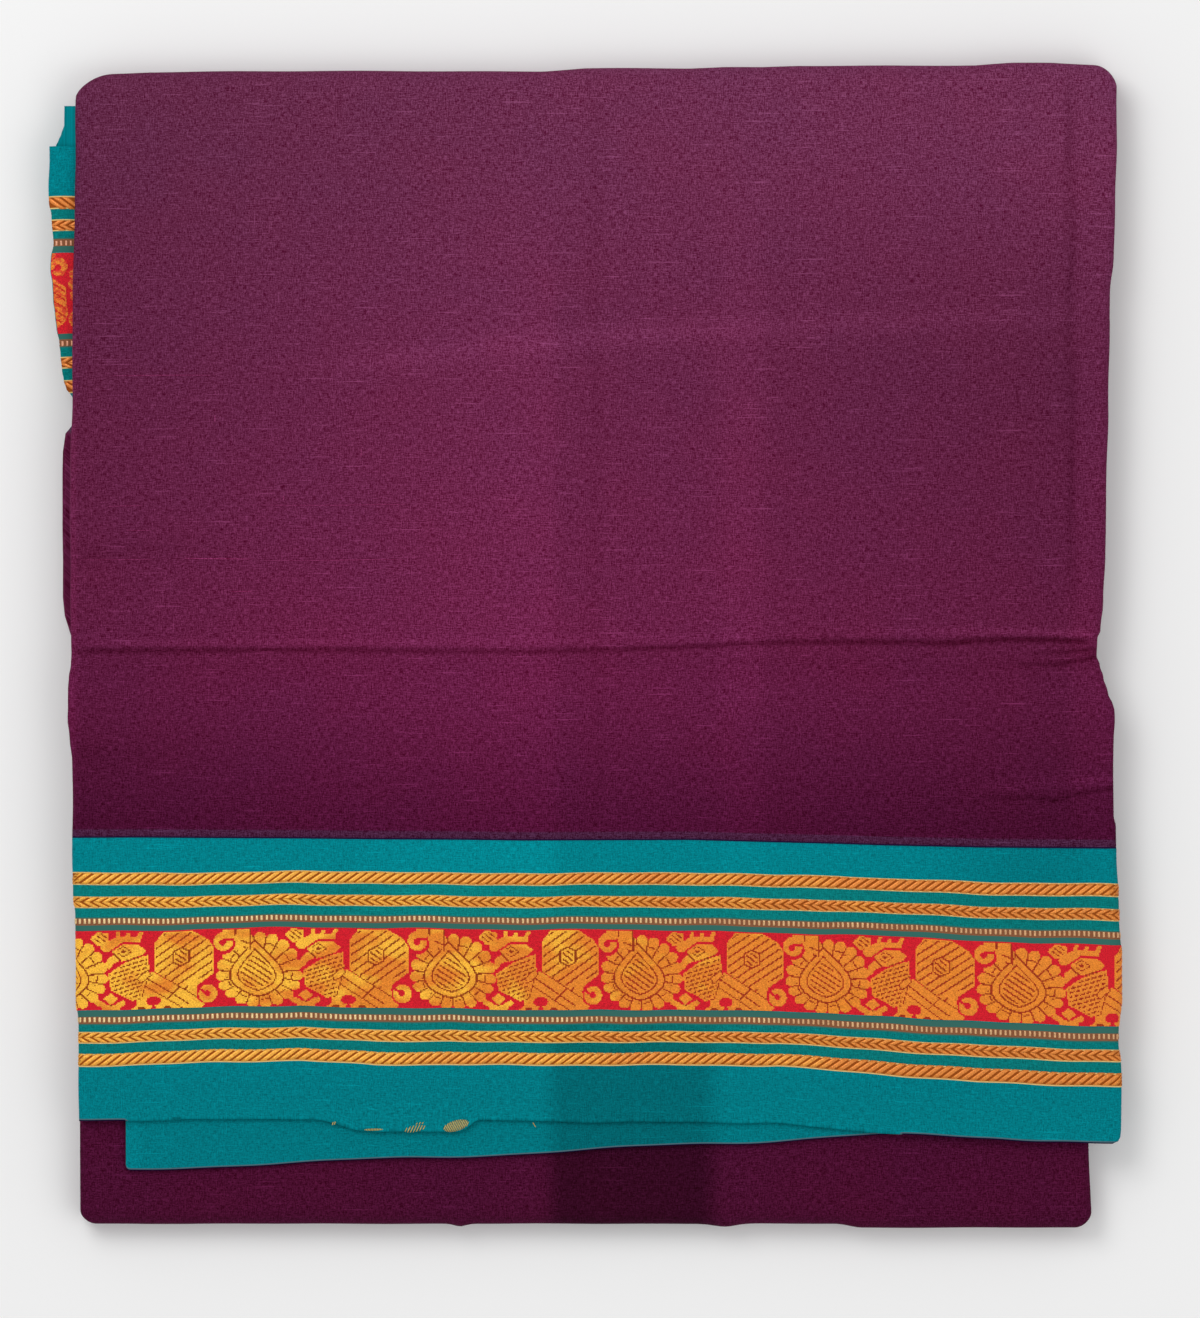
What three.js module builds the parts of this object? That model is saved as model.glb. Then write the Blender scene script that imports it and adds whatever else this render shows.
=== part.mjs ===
// A cotton saree, folded flat. The cloth is folded along its length into a strip one pack wide, and the strip is then
// folded across its width in three, like a letter: the front third ends in the lower border, the back third is the
// underside, and the inner third lies between them and ends in the upper border.
// Millimetres. X runs along the cloth's length, Y across it towards the top fold, Z up from the surface it lies on.

import * as THREE from "three";

// The flat cloth
const clothLength = 5600;
const foldsAlong = 16;

// The pack
const packWidth = clothLength / foldsAlong;
const packDepth = 387;
const packHeight = 20;
const halfWidth = packWidth / 2;
const topEdge = packDepth / 2;
const bottomEdge = -packDepth / 2;

// The cloth walls
const wall = 1.2;
const seamGap = 0.3;
const curlRadius = 2.8;
const curlAngle = (100 * Math.PI) / 180;
const curlSteps = 4;

// The two folds across the pack, seen from the side
const topFold = { radius: 8.55, steps: 9 };
const bottomFold = { radius: 6.8, steps: 7 };
const foldTail = 15;
const topFoldY = topEdge - topFold.radius;
const bottomFoldY = bottomEdge + bottomFold.radius;
const lowerHeight = 2 * bottomFold.radius;

// The front border
const borderTopY = -64;
const selvedgeY = -158;
const ledgeY = -139;
const ledgeFoot = -157;
const secondSpare = 0.08;
const borderHeight = lowerHeight + 2 * (wall + seamGap + secondSpare);
const borderCurl = { atSelvedge: 0.3, from: -118, run: 26 };

// The top of the pack: where it starts to fall towards the top fold and towards the border, and how far
const fallTowards = { fold: { from: 105 }, border: { from: -60, run: 80, by: 0.9 }, sides: { by: 0.8 } };

const plum = { color: 0x5e2344, roughness: 0.85, metalness: 0 };
const deepPlum = { color: 0x48102f, roughness: 0.85, metalness: 0 };
const turquoise = { color: 0x057b86, roughness: 0.75, metalness: 0 };

// The pack's outline seen from above, from the bottom up: how far each edge lies from the middle
const frontEdges = [
  { y: -167, left: -173.2, right: 175.5 },
  { y: -120, left: -174.2, right: 175.2 },
  { y: -72, left: -174.8, right: 174.6 },
  { y: -55, left: -175.2, right: 173.6 },
  { y: -28, left: -177.0, right: 173.8 },
  { y: -21, left: -176.8, right: 174.4 },
  { y: -10, left: -175.8, right: 169.8 },
  { y: -1, left: -175.4, right: 166.6 },
  { y: 6, left: -175.6, right: 167.6 },
  { y: 14, left: -176.0, right: 169.2 },
  { y: 60, left: -176.2, right: 170.2 },
  { y: 100, left: -175.4, right: 171.6 },
  { y: 130, left: -174.8, right: 173.2 },
  { y: 160, left: -174.6, right: 174.2 },
  { y: 194, left: -174.6, right: 174.5 },
];
const lowerEdges = [
  { y: -194, left: -173.2, right: 165.8 },
  { y: -165, left: -173.4, right: 165.2 },
  { y: -140, left: -173.6, right: 168.5 },
  { y: -100, left: -174.2, right: 173.0 },
  { y: -68, left: -174.2, right: 172.2 },
  { y: -1, left: -174.2, right: 165.6 },
  { y: 42, left: -174.2, right: 168.6 },
  { y: 100, left: -174.2, right: 170.4 },
  { y: 194, left: -174.2, right: 173.2 },
];
const cornerRadius = { topLeft: 10, topRight: 6, bottomLeft: 3, bottomRight: 4 };

// How far the woven lines of the border run downhill towards the right
const borderSlope = [
  { x: -180, drop: 0 },
  { x: -60, drop: 0 },
  { x: 0, drop: 0.5 },
  { x: 61, drop: 1.2 },
  { x: 101, drop: 2.0 },
  { x: 180, drop: 3.3 },
];
const selvedgeSpread = 1.4;
const slopeStartsAbove = 20;

// The lower edge of the second layer of border
const secondEdge = [
  { x: -160, y: -175.6 },
  { x: -60, y: -171.5 },
  { x: 40, y: -166.8 },
  { x: 101, y: -163.6 },
  { x: 170, y: -160.5 },
];
const second = { left: -157.2, right: 168, tuckedTo: -114, leaves: -136, easesOver: 12 };

// Soft troughs pressed into the front field: where each runs, how deep it is at each end, and how wide
const creases = [
  { from: { x: -176, y: -1.8 }, to: { x: 0, y: 0.2 }, depth: [0.4, 0.3], reach: 3.2 },
  { from: { x: 0, y: 0.2 }, to: { x: 170, y: 2.8 }, depth: [0.3, 0.75], reach: 3.4 },
  { from: { x: 95, y: -52.5 }, to: { x: 174, y: -48.5 }, depth: [0.1, 0.45], reach: 2.6 },
];

// The border of the inner third, peeping out at the left: its left edge, and how far it sinks below the slot's middle
const peeps = {
  front: {
    sink: 0.05,
    edge: [
      { y: 84.6, x: -174.8 },
      { y: 88, x: -177.2 },
      { y: 99, x: -178.6 },
      { y: 118, x: -180.6 },
      { y: 140, x: -182.2 },
      { y: 158, x: -183.2 },
      { y: 170, x: -183.2 },
    ],
  },
  behind: {
    sink: 1.4,
    edge: [
      { y: 150, x: -179.0 },
      { y: 174, x: -179.0 },
      { y: 181.7, x: -178.6 },
    ],
  },
};
const peepTuck = 19;
const peepWall = 1;
const peepShares = [0, 0.3, 0.65, 1];

// The hidden layers: leaves in the lower block and in the upper block, how far in their edges lie, and how far the
// edges stray from each other. The slot between the blocks takes the cloth that is tucked in
const leaf = { below: 7, above: 3, inset: 2.4, groove: 1.4, firstInset: 4, stray: 1.5 };
const slot = {
  floor: lowerHeight - wall - seamGap,
  roof: lowerHeight + seamGap,
  leftFloor: 10.85,
  inset: 24,
  bottomY: -116,
};
const coreBottom = wall + seamGap;
const coreSpare = 1.1;
const topSpare = 0.8;
const leafCrests = [0.3, 0.7];
const leafRhythm = { own: 2.4, ownStart: 0.6, wave: 47, waveStep: 1.9 };
const slotLip = 0.02;
const capInsets = [0, 3, 12, 34, 68, 108, 146];

// The bundle of folds that bulges out at the left, half way up the pack
const bulge = { from: -2, to: 76, ease: 12, reach: 4.9, height: 8, spread: 1.8 };

// Where the rows of each wall lie along the pack, closer together at a crease or a bend, and the steps across a wall
const rowsAt = {
  belowPinch: [-60, -55.5, -52.5, -50, -47.5, -44, -34, -22, -13, -7.5, -4, -1.5],
  abovePinch: [0.5, 2.5, 5, 8.5, 14, 30, 60, 95, 120, 142, 160, 174],
  border: [selvedgeY, -155, -152, -149, -146, -143, -140, -136, -124, -108, -86, borderTopY],
  second: [selvedgeY, -156, -154, -152, -150, -148, -146, -144, -142, -140, -138, second.leaves, second.tuckedTo],
  lower: [-172, -158, -146, -132, -120],
  back: [100, 42, 20, -1, -24, -46, -68, -120],
};
const steps = { front: 14, second: 14, lower: 10, back: 6 };

const clamp01 = (t) => Math.min(1, Math.max(0, t));
const smooth = (t) => clamp01(t) ** 2 * (3 - 2 * clamp01(t));
const mix = (a, b, t) => a + (b - a) * t;

// Reads a table at a place between its rows, easing from one row to the next
function read(table, key, value, at) {
  if (at <= table[0][key]) return table[0][value];
  for (let i = 1; i < table.length; i++) {
    if (at <= table[i][key]) {
      const share = (at - table[i - 1][key]) / (table[i][key] - table[i - 1][key]);
      return mix(table[i - 1][value], table[i][value], smooth(share));
    }
  }
  return table[table.length - 1][value];
}

// How far a rounded corner takes the edge in, at y
function cornerInset(y, edge, radius) {
  const into = clamp01((Math.abs(y) - (Math.abs(edge) - radius)) / radius);
  const sameSide = Math.sign(y) === Math.sign(edge);
  return sameSide ? radius * (1 - Math.sqrt(Math.max(0, 1 - into * into))) : 0;
}

function frontLeft(y) {
  return read(frontEdges, "y", "left", y) + cornerInset(y, topEdge, cornerRadius.topLeft);
}

function frontRight(y) {
  return read(frontEdges, "y", "right", y) - cornerInset(y, topEdge, cornerRadius.topRight);
}

function lowerLeft(y) {
  return read(lowerEdges, "y", "left", y) + cornerInset(y, bottomEdge, cornerRadius.bottomLeft);
}

function lowerRight(y) {
  return read(lowerEdges, "y", "right", y) - cornerInset(y, bottomEdge, cornerRadius.bottomRight);
}

// A trough's depth at a point of the front field
function creaseDepth(x, y) {
  let depth = 0;
  for (const c of creases) {
    const share = (x - c.from.x) / (c.to.x - c.from.x);
    if (share < 0 || share > 1) continue;
    const away = (y - mix(c.from.y, c.to.y, share)) / c.reach;
    depth = Math.max(depth, mix(c.depth[0], c.depth[1], share) * Math.exp(-away * away));
  }
  return depth;
}

// The height of the top of the pack along its middle: a low crown that eases down to the top fold and to the border,
// then drops off the edge of the hidden layers
function crown(y) {
  const { fold, border } = fallTowards;
  const toFold = clamp01((y - fold.from) / (topFoldY - fold.from));
  const toBorder = clamp01((border.from - y) / border.run);
  const high = packHeight - (packHeight - 2 * topFold.radius) * toFold ** 2 - border.by * toBorder;
  return mix(high, borderHeight, smooth((ledgeY - y) / (ledgeY - ledgeFoot)));
}

// What lies lower than the crown towards the sides
function sideFall(x, y) {
  const ending = 1 - smooth((ledgeY - y) / (ledgeY - ledgeFoot));
  return fallTowards.sides.by * Math.abs(x / halfWidth) ** 4 * ending;
}

const topHeight = (x, y) => crown(y) - sideFall(x, y);

// The downhill run of the border's lines: none well above the border, more towards the selvedge
function borderDrop(x, y) {
  const inBorder = clamp01((borderTopY - y) / (borderTopY - selvedgeY));
  const started = smooth(1 - (y - borderTopY) / slopeStartsAbove);
  return read(borderSlope, "x", "drop", x) * started * (1 + selvedgeSpread * inBorder);
}

// Places across a wall: a curl at each edge, and even steps between them
function columnsAcross(count) {
  const columns = [];
  for (let i = curlSteps; i > 0; i--) columns.push({ side: -1, angle: (curlAngle * i) / curlSteps });
  for (let i = 0; i <= count; i++) columns.push({ side: 0, share: i / count });
  for (let i = 1; i <= curlSteps; i++) columns.push({ side: 1, angle: (curlAngle * i) / curlSteps });
  return columns;
}

// Where a column of a wall lies in its section: x, and how far below the section's top the outer and inner faces are.
// depth 1 curls the edge round in full, and depth 0 leaves it flat
function acrossAt(column, left, right, depth) {
  if (column.side === 0) {
    const x = mix(left + curlRadius, right - curlRadius, column.share);
    return { outerX: x, outerDrop: 0, innerX: x, innerDrop: wall };
  }
  const centre = column.side < 0 ? left + curlRadius : right - curlRadius;
  const out = Math.sin(column.angle) * column.side;
  const down = 1 - Math.cos(column.angle);
  const innerRadius = curlRadius - wall;
  return {
    outerX: centre + curlRadius * out,
    outerDrop: depth * curlRadius * down,
    innerX: centre + innerRadius * out,
    innerDrop: wall + depth * innerRadius * down,
  };
}

// One closed solid from a grid of outer points and the same grid of inner points
function wallGeometry(outer, inner) {
  const rows = outer.length;
  const columns = outer[0].length;
  const positions = [...outer.flat(), ...inner.flat()].flatMap((p) => [p.x, p.y, p.z]);
  const faces = [];
  const quad = (a, b, c, d) => faces.push(a, b, c, a, c, d);
  const out = (r, c) => r * columns + c;
  const inn = (r, c) => (rows + r) * columns + c;
  for (let r = 0; r + 1 < rows; r++) {
    for (let c = 0; c + 1 < columns; c++) {
      quad(out(r, c), out(r, c + 1), out(r + 1, c + 1), out(r + 1, c));
      quad(inn(r, c), inn(r + 1, c), inn(r + 1, c + 1), inn(r, c + 1));
    }
    quad(out(r, 0), out(r + 1, 0), inn(r + 1, 0), inn(r, 0));
    quad(out(r, columns - 1), inn(r, columns - 1), inn(r + 1, columns - 1), out(r + 1, columns - 1));
  }
  for (let c = 0; c + 1 < columns; c++) {
    quad(out(0, c), inn(0, c), inn(0, c + 1), out(0, c + 1));
    quad(out(rows - 1, c), out(rows - 1, c + 1), inn(rows - 1, c + 1), inn(rows - 1, c));
  }
  const geometry = new THREE.BufferGeometry();
  geometry.setAttribute("position", new THREE.Float32BufferAttribute(positions, 3));
  geometry.setIndex(faces);
  geometry.computeVertexNormals();
  return geometry;
}

// A wall along a path in the YZ plane. Each row of the path has a point y, z, a direction across the path that points
// out of the pack, and a function of x that lifts its points
function pathWall(rows, count, leftAt, rightAt, depthAt) {
  const columns = columnsAcross(count);
  const outer = [];
  const inner = [];
  for (const row of rows) {
    const section = columns.map((c) => acrossAt(c, leftAt(row.y), rightAt(row.y), depthAt(row.y)));
    const place = (x, drop) => {
      const up = row.lift(x) - drop;
      const y = row.y + row.shift(x) + up * row.outY;
      return new THREE.Vector3(x, y, row.z + up * row.outZ);
    };
    outer.push(section.map((s) => place(s.outerX, s.outerDrop)));
    inner.push(section.map((s) => place(s.innerX, s.innerDrop)));
  }
  return wallGeometry(outer, inner);
}

const still = () => 0;

// A row on the top of the pack, whose points follow its height
function topRow(y, extra = still, shift = still) {
  const lift = (x) => topHeight(x, y) - crown(y) - extra(x);
  return { y, z: crown(y), outY: 0, outZ: 1, lift, shift };
}

function underRow(y) {
  return { y, z: 0, outY: 0, outZ: -1, lift: still, shift: still };
}

// Rows round a half circle, from turn 0 at the top to turn 1 at the underside, or back
function foldRow(centreY, radius, side, turn, liftAtTop) {
  const angle = Math.PI * turn;
  const outY = side * Math.sin(angle);
  const outZ = Math.cos(angle);
  const lift = (x) => liftAtTop(x) * (1 - turn);
  return { y: centreY + radius * outY, z: radius + radius * outZ, outY, outZ, lift, shift: still };
}

function frontField() {
  const places = [borderTopY + seamGap, ...rowsAt.belowPinch, ...rowsAt.abovePinch];
  const rows = places.map((y) => topRow(y, (x) => creaseDepth(x, y), (x) => -borderDrop(x, y)));
  const atFold = (x) => topHeight(x, topFoldY) - crown(topFoldY);
  for (let i = 0; i <= topFold.steps; i++) {
    rows.push(foldRow(topFoldY, topFold.radius, 1, i / topFold.steps, atFold));
  }
  rows.push(underRow(topFoldY - foldTail));
  return pathWall(rows, steps.front, frontLeft, frontRight, () => 1);
}

function frontBorder() {
  const rows = rowsAt.border.map((y) => topRow(y, still, (x) => -borderDrop(x, y)));
  const curlDepth = (y) => mix(1, borderCurl.atSelvedge, smooth((borderCurl.from - y) / borderCurl.run));
  return pathWall(rows, steps.front, frontLeft, frontRight, curlDepth);
}

// The second layer lies under the first, and reaches further down at the left
function secondBorder() {
  const under = wall + seamGap + secondSpare;
  const rows = rowsAt.second.map((y) => {
    const leaving = clamp01((second.leaves - y) / (second.leaves - selvedgeY));
    const shift = (x) => mix(-borderDrop(x, y), read(secondEdge, "x", "y", x) - selvedgeY, leaving);
    const lift = (x) => topHeight(x, y + shift(x)) - crown(y) - under;
    return { y, z: crown(y), outY: 0, outZ: 1, lift, shift };
  });
  return pathWall(rows, steps.second, () => second.left, () => second.right, () => 0);
}

// From the underside round the bottom fold, and up under the front third
function lowerField() {
  const rows = [underRow(bottomFoldY + foldTail)];
  for (let i = bottomFold.steps; i >= 0; i--) {
    rows.push(foldRow(bottomFoldY, bottomFold.radius, -1, i / bottomFold.steps, still));
  }
  for (const y of rowsAt.lower) {
    rows.push({ y, z: lowerHeight, outY: 0, outZ: 1, lift: still, shift: still });
  }
  return pathWall(rows, steps.lower, lowerLeft, lowerRight, () => 1);
}

function backField() {
  const from = topFoldY - foldTail - seamGap;
  const to = bottomFoldY + foldTail + seamGap;
  const rows = [from, ...rowsAt.back, to].map(underRow);
  return pathWall(rows, steps.back, lowerLeft, lowerRight, () => 1);
}

// A strip of the inner third's border: its left edge follows a table, and its right edge lies inside the slot
function peep({ edge, sink }) {
  const outer = [];
  const inner = [];
  const innerX = -halfWidth + peepTuck;
  const top = lowerHeight - sink;
  for (const row of edge) {
    const xs = peepShares.map((share) => mix(row.x, innerX, share));
    outer.push(xs.map((x) => new THREE.Vector3(x, row.y, top)));
    inner.push(xs.map((x) => new THREE.Vector3(x, row.y, top - peepWall)));
  }
  return wallGeometry(outer, inner);
}

// How far in the edge of a leaf of the hidden layers lies, so that no two edges line up
function leafStray(index, along) {
  const own = 0.5 + 0.5 * Math.sin(index * leafRhythm.own + leafRhythm.ownStart);
  const wave = 0.5 + 0.5 * Math.sin(along / leafRhythm.wave + index * leafRhythm.waveStep);
  return leaf.stray * (0.6 * own + 0.4 * wave);
}

// How much of the bulge there is at a height and a place along the left side
function bulgeShare(y, z) {
  const along = smooth((y - bulge.from) / bulge.ease) * smooth((bulge.to - y) / bulge.ease);
  return along * Math.exp(-(((z - bulge.height) / bulge.spread) ** 2));
}

// The edges that the hidden layers keep inside of
const coreLeft = (y) => Math.max(lowerLeft(y), frontLeft(y));
const coreRight = (y) => Math.min(lowerRight(y) + 1, frontRight(y));

// Half a round fold that the hidden layers must stay inside of
function insideFold(z, radius) {
  const room = radius - wall - seamGap - coreSpare;
  const high = (z - radius) / room;
  return room * Math.sqrt(Math.max(0, 1 - high * high));
}

// Places round the hidden layers: even steps along the short sides, and along the long sides a few close to each
// corner and even steps between them
const cornerRound = 9;
const nearCorner = [0, 1.5, 4.5];
const shortSteps = 9;
const longSteps = 14;

// The places along a long side, from its start to just before its end
function longPlaces(from, to) {
  const way = Math.sign(to - from);
  const firm = { from: from + way * cornerRound, to: to - way * cornerRound };
  const middle = [];
  for (let i = 0; i <= longSteps; i++) middle.push(mix(firm.from, firm.to, i / longSteps));
  return [
    ...nearCorner.map((d) => from + way * d),
    ...middle,
    ...nearCorner.slice(1).reverse().map((d) => to - way * d),
  ];
}

// A closed loop round the hidden layers, between four edges, with its corners cut round
function loop(edges, zAt) {
  const points = [];
  const put = (x, y) => points.push(new THREE.Vector3(x, y, zAt(x, y)));
  const cutAt = (y) => {
    const near = Math.max(0, cornerRound - Math.min(y - edges.bottom, edges.top - y));
    return cornerRound - Math.sqrt(cornerRound * cornerRound - near * near);
  };
  const leftAt = (y) => edges.left(y) + cutAt(y);
  const rightAt = (y) => edges.right(y) - cutAt(y);
  const putShort = (from, to, y) => {
    for (let i = 0; i < shortSteps; i++) put(mix(from, to, i / shortSteps), y);
  };
  putShort(leftAt(edges.bottom), rightAt(edges.bottom), edges.bottom);
  for (const y of longPlaces(edges.bottom, edges.top)) put(rightAt(y), y);
  putShort(rightAt(edges.top), leftAt(edges.top), edges.top);
  for (const y of longPlaces(edges.top, edges.bottom)) put(leftAt(y), y);
  return points;
}

// One ring of the lower block. z is its height, inset how far its edges lie in, and cut how far the slot cuts in
function lowerRing(z, inset, index, cut = { left: 0, right: 0, bottomY: bottomEdge, top: 0 }) {
  const left = (y) => {
    const share = bulgeShare(y, z);
    return coreLeft(y) + mix(inset + leafStray(index, y), -bulge.reach, share) + cut.left;
  };
  const edges = {
    bottom: Math.max(bottomFoldY - insideFold(z, bottomFold.radius), cut.bottomY),
    top: topFoldY + insideFold(z, topFold.radius) - cut.top,
    left,
    right: (y) => Math.min(lowerRight(y), frontRight(y)) - inset - leafStray(index + 3, y) - cut.right,
  };
  return loop(edges, () => z);
}

// How high the hidden layers may rise under the front cloth
function coreTop(x, y) {
  const underSecond = (wall + seamGap) * smooth((second.tuckedTo + second.easesOver - y) / second.easesOver);
  return topHeight(x, y) - wall - seamGap - topSpare - underSecond;
}

// One ring of the upper block. share is how far up it is between the slot and the top
function upperRing(share, inset, index, bottomY = ledgeY) {
  const shrink = Math.max(0, inset - leaf.inset - leaf.groove);
  const edges = {
    bottom: Math.max(bottomY, ledgeY + shrink),
    top: topFoldY - shrink,
    left: (y) => frontLeft(y) + inset + leafStray(index, y) * (1 - share),
    right: (y) => coreRight(y) - inset - leafStray(index + 5, y) * (1 - share),
  };
  return loop(edges, (x, y) => mix(slot.roof, coreTop(x, y), share));
}

function foldedLayers() {
  const rings = [];
  const groove = leaf.inset + leaf.groove;
  const leafHeight = (slot.floor - coreBottom) / leaf.below;
  rings.push(lowerRing(coreBottom, leaf.firstInset, 0));
  for (let i = 0; i < leaf.below; i++) {
    const z = coreBottom + i * leafHeight;
    if (z + leafCrests[1] * leafHeight > slot.leftFloor) break;
    if (i > 0) rings.push(lowerRing(z, groove, i));
    for (const crest of leafCrests) rings.push(lowerRing(z + crest * leafHeight, leaf.inset, i));
  }
  const leftCut = { left: slot.inset, right: 0, bottomY: bottomEdge, top: 0 };
  const fullCut = { left: slot.inset, right: slot.inset, bottomY: slot.bottomY, top: slot.inset };
  rings.push(lowerRing(slot.leftFloor, leaf.inset, leaf.below, leftCut));
  rings.push(lowerRing(slot.floor, groove, leaf.below, leftCut));
  rings.push(lowerRing(slot.floor, groove, leaf.below, fullCut));
  rings.push(upperRing(0, groove + slot.inset, 0, slot.bottomY));
  rings.push(upperRing(slotLip, groove, 0));
  for (let i = 0; i < leaf.above; i++) {
    const height = 1 / leaf.above;
    if (i > 0) rings.push(upperRing(i * height, groove, i));
    for (const crest of leafCrests) rings.push(upperRing((i + crest) * height, leaf.inset, i));
  }
  for (const inward of capInsets) rings.push(upperRing(1, groove + inward, 0));
  return loftGeometry(rings);
}

// One closed solid through rings of equal count, from the lowest to the innermost on top, each closed by its middle
function loftGeometry(rings) {
  const count = rings[0].length;
  const positions = rings.flat().flatMap((p) => [p.x, p.y, p.z]);
  const faces = [];
  const at = (r, i) => r * count + (i % count);
  for (let r = 0; r + 1 < rings.length; r++) {
    for (let i = 0; i < count; i++) {
      faces.push(at(r, i), at(r, i + 1), at(r + 1, i + 1), at(r, i), at(r + 1, i + 1), at(r + 1, i));
    }
  }
  const ends = [
    { ring: 0, turn: false },
    { ring: rings.length - 1, turn: true },
  ];
  for (const { ring, turn } of ends) {
    const middle = rings[ring].reduce((sum, p) => sum.add(p), new THREE.Vector3()).divideScalar(count);
    const tip = positions.length / 3;
    positions.push(middle.x, middle.y, middle.z);
    for (let i = 0; i < count; i++) {
      if (turn) faces.push(at(ring, i), at(ring, i + 1), tip);
      else faces.push(at(ring, i + 1), at(ring, i), tip);
    }
  }
  const geometry = new THREE.BufferGeometry();
  geometry.setAttribute("position", new THREE.Float32BufferAttribute(positions, 3));
  geometry.setIndex(faces);
  geometry.computeVertexNormals();
  return geometry;
}

const saree = new THREE.Group();

function add(name, geometry, look) {
  const mesh = new THREE.Mesh(geometry, new THREE.MeshStandardMaterial(look));
  mesh.name = name;
  saree.add(mesh);
}

add("front_field", frontField(), plum);
add("front_border", frontBorder(), turquoise);
add("second_border", secondBorder(), turquoise);
add("lower_field", lowerField(), deepPlum);
add("back_field", backField(), plum);
add("inner_border", peep(peeps.front), turquoise);
add("inner_border_under", peep(peeps.behind), turquoise);
add("folded_layers", foldedLayers(), deepPlum);

// The origin is at the middle of the surface that the pack covers
const box = new THREE.Box3().setFromObject(saree);
const middle = box.getCenter(new THREE.Vector3());
saree.position.set(-middle.x, -middle.y, -box.min.z);

export default saree;
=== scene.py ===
# A folded cotton saree: plum field, turquoise border with gold thread lines and a red figured band
import math

import bpy
import numpy as np
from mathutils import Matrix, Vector


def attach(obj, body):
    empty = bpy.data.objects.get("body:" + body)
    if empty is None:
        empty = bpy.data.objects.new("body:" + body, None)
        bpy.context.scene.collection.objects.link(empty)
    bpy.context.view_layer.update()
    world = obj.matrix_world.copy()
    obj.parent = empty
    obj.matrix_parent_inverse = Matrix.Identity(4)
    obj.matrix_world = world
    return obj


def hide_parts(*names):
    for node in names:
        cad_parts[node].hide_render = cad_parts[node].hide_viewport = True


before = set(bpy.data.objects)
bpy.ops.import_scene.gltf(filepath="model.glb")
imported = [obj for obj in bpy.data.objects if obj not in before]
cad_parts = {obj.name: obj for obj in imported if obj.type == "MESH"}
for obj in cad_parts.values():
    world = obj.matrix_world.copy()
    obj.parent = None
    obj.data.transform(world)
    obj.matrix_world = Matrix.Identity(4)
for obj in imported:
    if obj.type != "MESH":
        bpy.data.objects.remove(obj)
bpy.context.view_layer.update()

MM = 0.001

# The cloth and the pack, in millimetres, in the frame of the solids. WALL and GAP are the solids' own
PACK = {"half_width": 175.0, "top": 193.5, "bottom": -193.5, "height": 20.0}
CLOTH = 0.45
THREAD = 0.42
WALL = 1.2
GAP = 0.3
TOP_FOLD = 8.55
BOTTOM_FOLD = 6.8
FOLD_TAIL = 15.0
TOP_FOLD_Y = PACK["top"] - TOP_FOLD
BOTTOM_FOLD_Y = PACK["bottom"] + BOTTOM_FOLD
LOWER_HEIGHT = 2 * BOTTOM_FOLD
JUNCTION_Y = -63.8
LEDGE = {"from": -139.0, "to": -157.0}
BORDER_HEIGHT = LOWER_HEIGHT + 2 * (WALL + GAP) + 0.16
LEFT_CURL = {"radius": 2.6, "angle": math.radians(115)}
RIGHT_CURL = {"radius": 3.1, "angle": math.radians(165)}
LEFT_ARC = LEFT_CURL["radius"] * LEFT_CURL["angle"]
RIGHT_ARC = RIGHT_CURL["radius"] * RIGHT_CURL["angle"]

# The pack's outline from above, from the bottom up: y, and x at the left and at the right
FRONT_EDGES = [
    (-167, -169.3, 179.4), (-160, -169.6, 179.7), (-141, -169.7, 179.9), (-132, -169.9, 179),
    (-126, -169.9, 179.1), (-118, -170.6, 179.9), (-104, -170.6, 179.9), (-90, -170.7, 178.9),
    (-82, -171.6, 178.7), (-71, -171.9, 178.3), (-57, -171.9, 178), (-54, -171.9, 177.3),
    (-38, -171.9, 177.3), (-30, -172.8, 177.3), (-24, -173.5, 177.6), (-20.6, -173.3, 177.4),
    (-14.8, -173.2, 175.2), (-10, -172.9, 173.8), (-5.9, -172.3, 172.6), (-2.7, -172.2, 171.5),
    (3.1, -172.4, 171.7), (5.7, -172.5, 172.7), (15.9, -172.6, 173.8), (30, -172.6, 174.6),
    (60, -172.6, 174.9), (80, -172, 175.4), (110, -171.8, 176), (119, -171.6, 176.2),
    (130, -171.4, 177.3), (150, -171.1, 177.8), (170, -170.9, 178.3), (194, -170.7, 178.5),
]
LOWER_EDGES = [
    (-194, -169.4, 170.0), (-165, -169.5, 169.0), (-140, -169.7, 172.4), (-100, -170.3, 176.8),
    (-68, -170.3, 176.0), (-1, -170.3, 169.4), (42, -170.3, 172.4), (100, -170.3, 174.2),
    (194, -170.3, 177.0),
]
LOW_CORNER = 2.5
LOWER_TUCKED_TO = -120.0
# How far the top fold stands out, at each x
TOP_EDGE = [
    (-171, -0.5), (-158, -0.3), (-146, 0.15), (-14, 0.15), (0, 1.1), (35, 1.0), (47, 1.5), (59, 1.5),
    (71, 2.1), (131, 2.3), (143, 3.1), (156, 3.2), (167, 2.7), (178, 2.2),
]
CORNERS = {"top_left": 10.0, "top_right": 4.5, "bottom_left": 3.0, "bottom_right": 2.6}

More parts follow.
